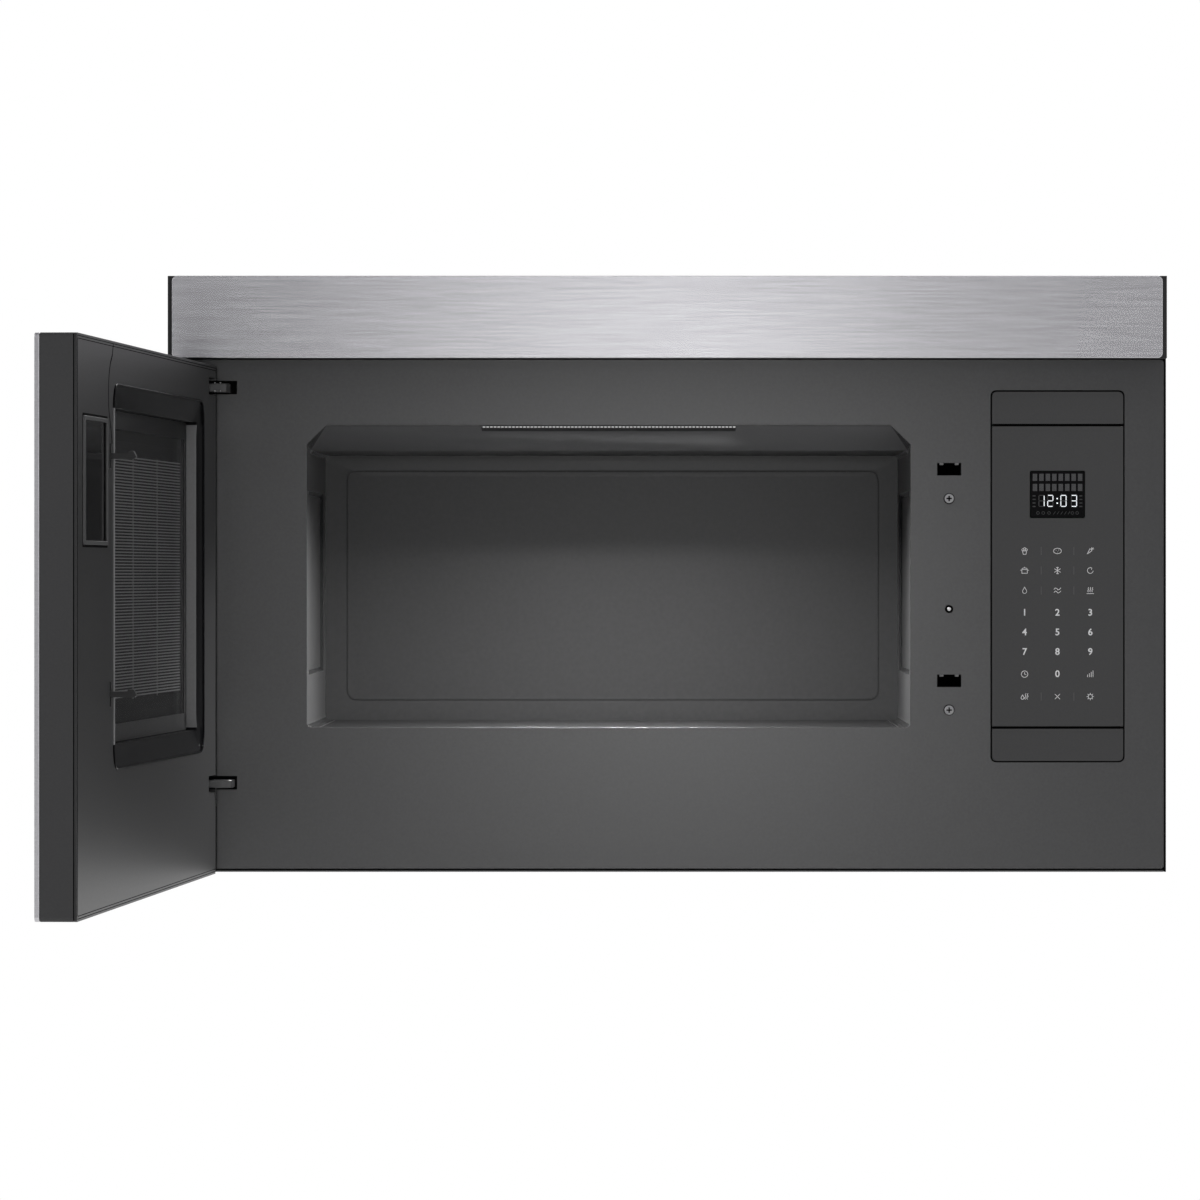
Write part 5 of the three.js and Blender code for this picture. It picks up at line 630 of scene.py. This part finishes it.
# ---------------------------------------------------------------- display
# A black glass window over a vacuum fluorescent clock: two rows of dot cells, four seven
# segment digits and small signs. Only the clock is lit; the rest is seen as faint grey.
black_glass = finish("black_window_glass", (0.004, 0.004, 0.0045), 0.1, size=30, spread=0.02,
                     relief=0.0)
clock_black = finish("clock_window_black", (0.003, 0.003, 0.0033), 0.12, size=30, spread=0.02,
                     relief=0.0, Specular_IOR_Level=0.1)
ease_edges("display_window", 0.0003, clock_black)
unlit = finish("unlit_segment_grey", (0.03, 0.03, 0.031), 0.6, size=900, mottle=0.1)
dim_cells = finish("dim_cell_grey", (0.085, 0.085, 0.087), 0.6, size=900, mottle=0.1)
lit = finish("lit_segment_white", (0.8, 0.82, 0.84), 0.5, size=900, mottle=0.03,
             Emission_Color=(0.92, 0.96, 1, 1), Emission_Strength=0.5)
PRINT = 0.00006
GLASS_FACE = -0.37252
CELL_ROWS = (0.0737, 0.0660)
CELL_COLUMNS = 8
FIRST_CELL_X = 0.2797
CELL_STEP = 0.00491
DOT_PITCH_X = 0.00068
DOT_PITCH_Z = 0.00078
DOT_HALF_X = 0.00029
DOT_HALF_Z = 0.00034
dots = bmesh.new()
for row in CELL_ROWS:
    for column in range(CELL_COLUMNS):
        for across in range(-2, 3):
            for up in range(-3, 4):
                x = FIRST_CELL_X + column * CELL_STEP + across * DOT_PITCH_X
                z = row + up * DOT_PITCH_Z
                block(dots, (x - DOT_HALF_X, GLASS_FACE - PRINT, z - DOT_HALF_Z),
                      (x + DOT_HALF_X, GLASS_FACE, z + DOT_HALF_Z))
settle("display_dot_cells", dots, dim_cells)


def stroke(form, points, width, face, closed=False):
    """A printed line through points, with round joints, that stands a hair proud of a face."""
    ends = points[1:] + points[:1] if closed else points[1:]
    for start, end in zip(points, ends):
        run = math.hypot(end[0] - start[0], end[1] - start[1])
        turn = math.atan2(end[1] - start[1], end[0] - start[0])
        middle = ((start[0] + end[0]) / 2, face - PRINT / 2, (start[1] + end[1]) / 2)
        lie = Matrix.Rotation(-turn, 4, "Y") @ Matrix.Diagonal((run, PRINT, width, 1))
        bmesh.ops.create_cube(form, size=1, matrix=Matrix.Translation(middle) @ lie)
    for x, z in points:
        lie = Matrix.Translation((x, face - PRINT / 2, z)) @ Matrix.Rotation(math.pi / 2, 4, "X")
        bmesh.ops.create_cone(form, cap_ends=True, segments=8, radius1=width / 2,
                              radius2=width / 2, depth=PRINT * 1.02, matrix=lie)


DIGIT_HALF_WIDTH = 0.0020
DIGIT_HALF_HEIGHT = 0.0042
SEGMENT_WIDTH = 0.00066
SEGMENT_CUT = 0.00052
CLOCK_Z = 0.0558
CLOCK_X = (0.2847, 0.2914, 0.3014, 0.3094)
CLOCK_SEGMENTS = ("bc", "abged", "abcdef", "abgcd")
COLON_X = 0.2966
COLON_RISE = 0.0017
COLON_HALF = 0.0001
COLON_WIDTH = 0.0010
SEGMENTS = {
    "a": ((-1, 1), (1, 1)), "b": ((1, 1), (1, 0)), "c": ((1, 0), (1, -1)),
    "d": ((-1, -1), (1, -1)), "e": ((-1, 0), (-1, -1)), "f": ((-1, 1), (-1, 0)),
    "g": ((-1, 0), (1, 0)),
}
lit_segments = bmesh.new()
faint_segments = bmesh.new()
for digit_x, shown in zip(CLOCK_X, CLOCK_SEGMENTS):
    for letter, ends in SEGMENTS.items():
        points = [Vector((digit_x + DIGIT_HALF_WIDTH * x, CLOCK_Z + DIGIT_HALF_HEIGHT * z))
                  for x, z in ends]
        along = (points[1] - points[0]).normalized() * SEGMENT_CUT
        trimmed = [tuple(points[0] + along), tuple(points[1] - along)]
        stroke(lit_segments if letter in shown else faint_segments, trimmed, SEGMENT_WIDTH,
               GLASS_FACE)
for z in (CLOCK_Z - COLON_RISE, CLOCK_Z + COLON_RISE):
    stroke(lit_segments, [(COLON_X - COLON_HALF, z), (COLON_X + COLON_HALF, z)], COLON_WIDTH, GLASS_FACE)
settle("display_clock_digits", lit_segments, lit)


def arc(x, z, radius, start, end, steps, squash=1.0):
    """Points along part of a circle, in degrees."""
    turns = [math.radians(start + (end - start) * step / steps) for step in range(steps + 1)]
    return [(x + radius * math.cos(turn), z + radius * squash * math.sin(turn)) for turn in turns]


FAINT_ROW = 0.0466
FAINT_LINE = 0.0004
FAINT_RADIUS = 0.0011
FAINT_ROUNDS = (0.2820, 0.2860, 0.2904, 0.3082, 0.3118)
FAINT_SLASHES = (0.2945, 0.2973, 0.3001, 0.3029, 0.3056)
SLASH_HALF = (0.0007, 0.001)
DASH_COLUMNS = (0.2790, 0.3146)
DASH_ROWS = (0.0515, 0.0542, 0.0569, 0.0596)
DASH_HALF = 0.0008
DASH_LINE = 0.0009
for x in FAINT_ROUNDS:
    stroke(faint_segments, arc(x, FAINT_ROW, FAINT_RADIUS, 0, 330, 7), FAINT_LINE, GLASS_FACE, True)
for x in FAINT_SLASHES:
    ends = [(x - SLASH_HALF[0], FAINT_ROW - SLASH_HALF[1]), (x + SLASH_HALF[0], FAINT_ROW + SLASH_HALF[1])]
    stroke(faint_segments, ends, FAINT_LINE, GLASS_FACE)
for x in DASH_COLUMNS:
    for z in DASH_ROWS:
        stroke(faint_segments, [(x - DASH_HALF, z), (x + DASH_HALF, z)], DASH_LINE, GLASS_FACE)
settle("display_faint_signs", faint_segments, unlit)

# ---------------------------------------------------------------- key legends
# Print on the flat key panel: white figures, white signs drawn in thin lines, and short
# grey bars between the keys. It lies a hair above the panel, as screen print does.
key_white = finish("key_print_white", (0.86, 0.86, 0.86), 0.5, size=900, mottle=0.03)
key_grey = finish("key_print_grey", (0.13, 0.13, 0.13), 0.5, size=900, mottle=0.06)
KEY_COLUMNS = (0.2718, 0.2968, 0.3218)
DIGIT_ROWS = ((-0.0293, "123"), (-0.0442, "456"), (-0.0591, "789"), (-0.0760, " 0 "))
SIGN_ROWS = (0.0177, 0.0028, -0.0124, -0.0760, -0.0931)
DIGIT_SIZE = 0.0072
FIGURE_SWELL = 0.00012
SIGN_SIZE = 0.0026
SIGN_LINE = 0.00042
DIVIDER_COLUMNS = (0.2844, 0.3093)
DIVIDER_ROWS = (0.0177, 0.0028, -0.0124, -0.0931)
DIVIDER_HALF = (0.00014, 0.0031)


def figure(text, x, z, size):
    """One printed figure as a flat mesh on the key panel."""
    curve = bpy.data.curves.new("figure", "FONT")
    curve.body = text
    curve.align_x = "CENTER"
    curve.align_y = "CENTER"
    curve.size = size
    curve.extrude = PRINT / 2
    curve.offset = FIGURE_SWELL
    curve.resolution_u = 4
    holder = bpy.data.objects.new("figure", curve)
    flat = bpy.data.meshes.new_from_object(holder)
    bpy.data.objects.remove(holder)
    lie = Matrix.Translation((x, TILE_FACE - PRINT / 2, z)) @ Matrix.Rotation(math.pi / 2, 4, "X")
    flat.transform(lie)
    return flat


digits = bmesh.new()
for row, letters in DIGIT_ROWS:
    for x, letter in zip(KEY_COLUMNS, letters):
        if letter != " ":
            digits.from_mesh(figure(letter, x, row, DIGIT_SIZE))
bmesh.ops.remove_doubles(digits, verts=digits.verts, dist=1e-7)
settle("key_digits", digits, key_white)

WAVE = [(-1, -0.1), (-0.6, 0.3), (-0.2, 0.1), (0.2, -0.3), (0.6, -0.1), (1, 0.3)]
RISER = [(0, -0.3), (-0.2, 0), (0.15, 0.35), (-0.05, 0.7), (0.1, 1)]


def moved(points, x, z, size=1.0):
    """A line's points, scaled and shifted."""
    return [(x + size * point[0], z + size * point[1]) for point in points]


DROP = [(0, 1), *arc(0, -0.25, 0.62, 20, -200, 9)]
SIGNS = {
    "popcorn": [([(-0.6, 0), (-0.4, -1), (0.4, -1), (0.6, 0)], True),
                (arc(-0.5, 0.35, 0.32, 0, 320, 7), True), (arc(0, 0.62, 0.34, 0, 320, 7), True),
                (arc(0.5, 0.35, 0.32, 0, 320, 7), True)],
    "potato": [(arc(0, 0, 1.15, 0, 340, 15, 0.7), True), ([(-0.4, 0.2), (-0.35, 0.2)], False),
               ([(0.3, 0.25), (0.35, 0.25)], False), ([(0.05, -0.3), (0.1, -0.3)], False)],
    "vegetables": [([(-0.9, -0.9), (-0.1, 0.7), (0.5, 0.1)], True),
                   ([(0.25, 0.4), (0.4, 1)], False), ([(0.25, 0.4), (1, 0.6)], False),
                   ([(0.25, 0.4), (0.85, 0.95)], False)],
    "cook": [([(-0.8, 0.3), (-0.8, -0.8), (0.8, -0.8), (0.8, 0.3)], True),
             ([(-1.2, 0.1), (-0.8, 0.1)], False), ([(0.8, 0.1), (1.2, 0.1)], False),
             (arc(0, 0.3, 0.8, 0, 180, 8, 0.6), False), ([(0, 0.8), (0, 1)], False)],
    "defrost": [([(0, -1), (0, 1)], False), ([(-0.87, -0.5), (0.87, 0.5)], False),
                ([(-0.87, 0.5), (0.87, -0.5)], False), ([(-0.3, 0.95), (0, 0.65), (0.3, 0.95)], False),
                ([(-0.3, -0.95), (0, -0.65), (0.3, -0.95)], False)],
    "reheat": [(arc(0, 0, 0.85, 60, 350, 12), False),
               ([(0.05, 0.95), (0.45, 0.74), (0.35, 0.25)], False)],
    "melt": [(DROP, True)],
    "soften": [(moved(WAVE, 0, 0.45), False), (moved(WAVE, 0, -0.45), False)],
    "keep_warm": [([(-1, -0.9), (1, -0.9)], False), (moved(RISER, -0.6, -0.1), False),
                  (moved(RISER, 0, -0.1), False), (moved(RISER, 0.6, -0.1), False)],
    "timer": [(arc(0, 0, 0.95, 0, 345, 15), True), ([(0, 0.55), (0, 0), (0.4, -0.15)], False)],
    "power": [([(-0.8, -0.8), (-0.8, -0.2)], False), ([(-0.27, -0.8), (-0.27, 0.2)], False),
              ([(0.27, -0.8), (0.27, 0.6)], False), ([(0.8, -0.8), (0.8, 1)], False)],
    "steam": [(moved(DROP, -0.6, -0.2, 0.7), True), (moved(RISER, 0.25, -0.4, 1.3), False),
              (moved(RISER, 0.85, -0.4, 1.3), False)],
    "clear": [([(-0.7, -0.7), (0.7, 0.7)], False), ([(-0.7, 0.7), (0.7, -0.7)], False)],
    "settings": [(arc(0, 0, 0.62, 0, 340, 13), True),
                 *[([(0.7 * math.cos(turn), 0.7 * math.sin(turn)), (math.cos(turn), math.sin(turn))],
                    False) for turn in [math.radians(45 * step) for step in range(8)]]],
}
LAYOUT = (("popcorn", "potato", "vegetables"), ("cook", "defrost", "reheat"),
          ("melt", "soften", "keep_warm"), ("timer", None, "power"), ("steam", "clear", "settings"))
signs = bmesh.new()
for row, names in zip(SIGN_ROWS, LAYOUT):
    for x, name in zip(KEY_COLUMNS, names):
        for points, closed in SIGNS.get(name, ()):
            stroke(signs, moved(points, x, row, SIGN_SIZE), SIGN_LINE, TILE_FACE, closed)
settle("key_signs", signs, key_white)
dividers = bmesh.new()
for row in DIVIDER_ROWS:
    for x in DIVIDER_COLUMNS:
        block(dividers, (x - DIVIDER_HALF[0], TILE_FACE - PRINT, row - DIVIDER_HALF[1]),
              (x + DIVIDER_HALF[0], TILE_FACE, row + DIVIDER_HALF[1]))
settle("key_dividers", dividers, key_grey)

# ---------------------------------------------------------------- vent trim and grille
# The fascia is a stainless sheet with bent edges, brushed from side to side. The black
# grille body behind it carries the louvres that blow the air out over the door.
brushed = finish("stainless_brushed_across", (0.51, 0.505, 0.525), 0.24, metal=1,
                 grain=(1, 12, 34), size=26, mottle=0.1, spread=0.01, relief=0.0,
                 Anisotropic=0.6, Anisotropic_Rotation=0.25)
ease_edges("vent_trim", 0.0008, brushed, 3)
ease_edges("vent_grille", 0.0004, moulding)

# ---------------------------------------------------------------- door
# A moulded frame between a stainless skin with a glass front and a painted inner sheet.
# It hangs on two pins. Added trim is shaped on the shut door and swung open on those pins.
HINGE = Vector((-0.361, -0.392, 0))
OPEN_ANGLE = -math.radians(93.3)
SWING = Matrix.Translation(HINGE) @ Matrix.Rotation(OPEN_ANGLE, 4, "Z") @ Matrix.Translation(-HINGE)
door_brushed = finish("stainless_door_skin", (0.56, 0.555, 0.575), 0.3, metal=1,
                      grain=(1, 12, 34), turn=OPEN_ANGLE, size=26, mottle=0.1, spread=0.01,
                      relief=0.0)
ease_edges("door_skin", 0.0008, door_brushed, 3)
front_glass = finish("black_front_glass", (0.004, 0.004, 0.0045), 0.06, size=30, spread=0.02,
                     relief=0.0, Specular_IOR_Level=0.12)
ease_edges("door_glass", 0.0006, front_glass, 3)
frame_grey = finish("door_frame_grey", (0.032, 0.032, 0.033), 0.5, size=700, mottle=0.12, relief=0.12)
ease_edges("door_frame", 0.0006, frame_grey)
door_enamel = finish("door_inner_enamel", (0.031, 0.031, 0.0315), 0.39, size=520, mottle=0.07,
                     relief=0.03, spread=0.03, Specular_IOR_Level=0.3)
ease_edges("door_inner_panel", 0.0005, door_enamel)


def hang(name, form, material):
    """Swings a piece that was shaped on the shut door open with it."""
    bmesh.ops.transform(form, matrix=SWING, verts=form.verts)
    return settle(name, form, material, "door")


DOOR_FACE = -0.374
DOOR_LOW = (-0.375, -0.2272)
DOOR_HIGH = (0.375, 0.158)
SEAM_SINK = 0.0001
SEAM_CORNER = 0.002
SEAM_WIDTH = 0.0005
CURVED_SEAM_WIDTH = 0.0024
EDGE_LINE_X = (0.3748, 0.3751)
EDGE_LINE_DEPTH = (-0.3764, -0.3757)
EDGE_LINE_SHORT = 0.001
SEAM_PATH = ((0.2015, 0.1550), (0.2057, 0.1484), (0.2147, 0.1430), (0.2204, 0.1371), (0.2235, 0.1309),
             (0.2247, 0.1225), (0.2235, 0.1124), (0.2204, 0.1081), (0.2130, 0.0985), (0.2075, 0.0890))
for name, inset in (("door_outer_seam", 0.0016), ("door_inner_seam", 0.0034)):
    seam = bmesh.new()
    rounded_plate(seam, (DOOR_LOW[0] + inset, DOOR_FACE - SEAM_SINK, DOOR_LOW[1] + inset),
                  (DOOR_HIGH[0] - inset, DOOR_FACE + SEAM_SINK, DOOR_HIGH[1] - inset), SEAM_CORNER, 3)
    hollow(seam, SEAM_WIDTH)
    hang(name, seam, seam_black)
seams = bmesh.new()
stroke(seams, SEAM_PATH, CURVED_SEAM_WIDTH, DOOR_FACE + PRINT * 1.5)
block(seams, (EDGE_LINE_X[0], EDGE_LINE_DEPTH[0], DOOR_LOW[1] + EDGE_LINE_SHORT),
      (EDGE_LINE_X[1], EDGE_LINE_DEPTH[1], DOOR_HIGH[1] - EDGE_LINE_SHORT))
hang("door_seams", seams, seam_black)

# ---------------------------------------------------------------- door window
# A gloss black moulding slopes down to a deep well. The inner pane lies on its floor, with a
# black printed border, and a slotted metal screen behind it keeps the microwaves in.
gloss_black = finish("gloss_black_moulding", (0.004, 0.004, 0.0045), 0.16, size=60, relief=0.01,
                     Specular_IOR_Level=0.05)
lip_painted_highlight_grey = finish("gloss_grey_lip", (0.2, 0.2, 0.202), 0.25, size=300, mottle=0.1, relief=0.02)
# A lighter grey for one wall of the window well: painted light.
well_side_painted_light_grey = finish("window_well_grey", (0.17, 0.17, 0.171), 0.4, size=500, mottle=0.08, relief=0.03)
WELL_HALF = 0.2300
WELL_MIDDLE = Vector((-0.0445, -0.380, -0.0015))
WELL_LOW = (-0.2737, -0.1157)
WELL_HIGH = (0.1847, 0.1127)
LIP_LOW = (-0.2907, -0.3743, -0.1327)
LIP_HIGH = (0.2017, -0.3729, 0.1297)
LIP_CORNER = 0.017
LIP_WIDTH = 0.0012
GLINT_LOW = (0.2005, -0.3743, -0.1157)
GLINT_HIGH = (0.2022, -0.3727, 0.1127)
PANE_FACE = -0.3845
BORDER_CORNER = 0.003
BORDER_WIDTH = 0.0125
surround = copy_of("window_surround")
bmesh.ops.transform(surround, matrix=SWING.inverted(), verts=surround.verts)
surround.normal_update()
# Only the inward faces of the well's wall on one side take the lighter grey; the other walls stay gloss
# black, so the grey is painted light on that wall.
for face in surround.faces:
    offset = face.calc_center_median() - WELL_MIDDLE
    inward = face.normal.dot(Vector((-offset.x, 0, 0)))
    if abs(face.normal.x) > 0.9 and inward > 0 and -WELL_HALF < offset.x < 0:
        face.material_index = 1
bmesh.ops.transform(surround, matrix=SWING, verts=surround.verts)
window_well = show("window_surround", surround, gloss_black, 0.0005, 3)
window_well.data.materials.append(well_side_painted_light_grey)
lip = bmesh.new()
rounded_plate(lip, LIP_LOW, LIP_HIGH, LIP_CORNER, 10)
hollow(lip, LIP_WIDTH)
ease(hang("window_lip", lip, gloss_black), 0.0004)
# A light grey strip along one side of the window's lip: a painted highlight.
glint = bmesh.new()
block(glint, GLINT_LOW, GLINT_HIGH)
ease(hang("window_lip_glint", glint, lip_painted_highlight_grey), 0.0005, 3)
clear_pane = finish("clear_pane", (0.3, 0.3, 0.31), 0.05, size=30, spread=0.02, relief=0.0,
                    Transmission_Weight=0.9, Alpha=0.18, Specular_IOR_Level=0.06)
ease_edges("window_pane", 0.0002, clear_pane)
border_black = finish("pane_border_print", (0.03, 0.03, 0.0305), 0.4, size=300, mottle=0.1)
border = bmesh.new()
rounded_plate(border, (WELL_LOW[0], PANE_FACE - 0.0001, WELL_LOW[1]),
              (WELL_HIGH[0], PANE_FACE, WELL_HIGH[1]), BORDER_CORNER)
hollow(border, BORDER_WIDTH)
hang("pane_border", border, border_black)
screen_black = finish("black_screen", (0.003, 0.003, 0.003), 0.6, size=400, Specular_IOR_Level=0.05)
ease_edges("window_screen", 0.0001, screen_black)
slat_grey = finish("screen_slat_grey", (0.17, 0.17, 0.171), 0.4, size=400, mottle=0.1)
SLAT_PITCH = 0.00215
SLAT_TOP = 0.0820
SLAT_COUNT = 79
SLAT_LEFT, SLAT_RIGHT = -0.258, 0.169
SLAT_HALF = 0.00045
SLAT_BACK = PANE_FACE - 0.0028
SLAT_FRONT = PANE_FACE - 0.0034
STRAP_COLUMNS = (-0.130, 0)
STRAP_HALF = 0.001
STRAP_FRONT = PANE_FACE - 0.0036
STRAP_FOOT, STRAP_TOP = -0.088, 0.083
slats = bmesh.new()
for step in range(SLAT_COUNT):
    z = SLAT_TOP - step * SLAT_PITCH
    block(slats, (SLAT_LEFT, SLAT_FRONT, z - SLAT_HALF), (SLAT_RIGHT, SLAT_BACK, z + SLAT_HALF))
for x in STRAP_COLUMNS:
    block(slats, (x - STRAP_HALF, STRAP_FRONT, STRAP_FOOT), (x + STRAP_HALF, SLAT_BACK, STRAP_TOP))
hang("screen_slats", slats, slat_grey)

# ---------------------------------------------------------------- display lens
# With the door shut, a smoked plastic lens in the door lies over the clock. It is clipped
# into the inner sheet in a thin black bezel whose rim stands just proud.
bezel_grey = finish("lens_bezel_grey", (0.075, 0.075, 0.076), 0.35, size=500, mottle=0.1)
LENS_LOW = (0.2310, 0.0200)
LENS_HIGH = (0.3470, 0.1040)
BEZEL_REACH = 0.0005
BEZEL_FRONT = DOOR_FACE - 0.0005
BEZEL_BACK = DOOR_FACE + 0.0009
BEZEL_WIDTH = 0.0026
BAR_WIDTH = (0.0090, 0.0018)
BAR_SHORT = 0.0019
SHADOW_REACH = 0.0022
SHADOW_WIDTH = 0.0021
ease_edges("display_lens", 0.0003, black_glass)
bezel = bmesh.new()
rounded_plate(bezel, (LENS_LOW[0] - BEZEL_REACH, BEZEL_FRONT, LENS_LOW[1] - BEZEL_REACH),
              (LENS_HIGH[0] + BEZEL_REACH, BEZEL_BACK, LENS_HIGH[1] + BEZEL_REACH), 0.0012, 3)
hollow(bezel, BEZEL_WIDTH)
block(bezel, (LENS_HIGH[0] - BAR_WIDTH[0], BEZEL_FRONT, LENS_LOW[1] + BAR_SHORT),
      (LENS_HIGH[0] - BAR_WIDTH[1], BEZEL_BACK, LENS_HIGH[1] - BAR_SHORT))
ease(hang("lens_bezel", bezel, bezel_grey), 0.0003)
gap = bmesh.new()
rounded_plate(gap, (LENS_LOW[0] - SHADOW_REACH, DOOR_FACE - SEAM_SINK, LENS_LOW[1] - SHADOW_REACH),
              (LENS_HIGH[0] + SHADOW_REACH, DOOR_FACE + SEAM_SINK, LENS_HIGH[1] + SHADOW_REACH),
              SEAM_CORNER, 3)
hollow(gap, SHADOW_WIDTH)
hang("lens_shadow_gap", gap, seam_black)

# ---------------------------------------------------------------- latch bar
# A sliding strip inside the free edge of the door carries both latch hooks. A spring below it pushes it
# up, so that the hooks catch behind the panel.
latch_black = finish("latch_black_plastic", (0.014, 0.014, 0.0145), 0.42, size=700, mottle=0.12)
ease_edges("latch_bar", 0.0004, latch_black)
spring = settle("latch_spring_shown", copy_of("latch_spring"), bright_steel, None)
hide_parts("latch_spring")
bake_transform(spring)

# ---------------------------------------------------------------- underside and cord gland
# Two grease filters of thin aluminium mesh and two cooktop lamps with ribbed lenses lie in
# the base plate. A moulded gland stands ready in the case top for the cord.
mill_aluminium = finish("mill_aluminium", (0.6, 0.61, 0.62), 0.38, metal=1, size=80)
ease_edges("grease_filter_left", 0.0005, mill_aluminium)
ease_edges("grease_filter_right", 0.0005, mill_aluminium)
FILTER_MESH = {"left_filter": (-0.3372, -0.2025, -0.0925, -0.0775),
               "right_filter": (0.0925, -0.2025, 0.3372, -0.0775)}
STRAND_SLOPE = 0.62
STRAND_STEP = 0.0088
STRAND_WIDTH = 0.0013
STRAND_TOP = -0.22472
STRAND_THICKNESS = 0.0002


def strand(form, low_x, low_y, high_x, high_y, crossing, slope):
    """One slanting strand of the mesh, cut to the opening it lies behind."""
    ends = []
    for x in (low_x, high_x):
        y = slope * x + crossing
        if low_y < y < high_y:
            ends.append(Vector((x, y)))
    for y in (low_y, high_y):
        x = (y - crossing) / slope
        if low_x < x < high_x:
            ends.append(Vector((x, y)))
    if len(ends) == 2 and (ends[1] - ends[0]).length > STRAND_STEP / 2:
        middle = (ends[0] + ends[1]) / 2
        run = ends[1] - ends[0]
        lie = Matrix.Rotation(math.atan2(run.y, run.x), 4, "Z")
        size = Matrix.Diagonal((run.length, STRAND_WIDTH, STRAND_THICKNESS, 1))
        level = STRAND_TOP if slope > 0 else STRAND_TOP - STRAND_THICKNESS / 2
        place = Matrix.Translation((middle.x, middle.y, level))
        bmesh.ops.create_cube(form, size=1, matrix=place @ lie @ size)


for body, (low_x, low_y, high_x, high_y) in FILTER_MESH.items():
    weave = bmesh.new()
    for slope in (-STRAND_SLOPE, STRAND_SLOPE):
        crossings = [y - slope * x for x in (low_x, high_x) for y in (low_y, high_y)]
        crossing = min(crossings) + STRAND_STEP / 2
        while crossing < max(crossings):
            strand(weave, low_x, low_y, high_x, high_y, crossing, slope)
            crossing += STRAND_STEP
    settle(body + "_mesh", weave, mill_aluminium, body)
dress(white_plastic, "cooktop_lamp_left", "cooktop_lamp_right")
frosted = finish("frosted_lamp_lens", (0.62, 0.64, 0.67), 0.3, size=260, relief=0.1)
ease_edges("cooktop_lens_left", 0.0004, frosted)
ease_edges("cooktop_lens_right", 0.0004, frosted)
COOKTOP_LENS_X = 0.18975
LENS_RIB_STEP = 0.0037
LENS_RIB_COUNT = 19
LENS_RIB_HALF = 0.0009
LENS_RIB_DEPTH = (-0.3130, -0.2970)
LENS_RIB_LEVELS = (-0.22655, -0.22605)
ribs = bmesh.new()
for side in (-1, 1):
    for step in range(LENS_RIB_COUNT):
        x = side * COOKTOP_LENS_X + (step - (LENS_RIB_COUNT - 1) / 2) * LENS_RIB_STEP
        block(ribs, (x - LENS_RIB_HALF, LENS_RIB_DEPTH[0], LENS_RIB_LEVELS[0]),
              (x + LENS_RIB_HALF, LENS_RIB_DEPTH[1], LENS_RIB_LEVELS[1]))
ease(settle("cooktop_lens_ribs", ribs, frosted), 0.0004)
ease_edges("cord_gland", 0.0004, moulding)

# ---------------------------------------------------------------- inside the case
# Power parts and both fans, in the finishes they come in: zinc coated steel ducts, bright
# steel cans, varnished copper windings, mill aluminium wheels and a black fan.
copper = finish("varnished_copper", (0.55, 0.24, 0.11), 0.36, metal=0.8, size=300)
charcoal = finish("charcoal_cartridge", (0.01, 0.01, 0.01), 0.9, size=300, relief=0.5)
dress(mill_aluminium, "stirrer", "high_voltage_capacitor", "blower_wheel_left", "blower_wheel_right")
dress(zinc_sheet, "stirrer_motor", "waveguide", "cooling_fan_shroud", "blower_scroll_left",
      "blower_scroll_right", "outlet_duct", "roof_vent_blank", "air_duct_left", "air_duct_right")
dress(bright_steel, "magnetron", "cooling_fan_motor", "blower_motor", "blower_shaft")
dress(moulding, "cooling_fan")
dress(copper, "high_voltage_transformer")
dress(charcoal, "charcoal_filter")
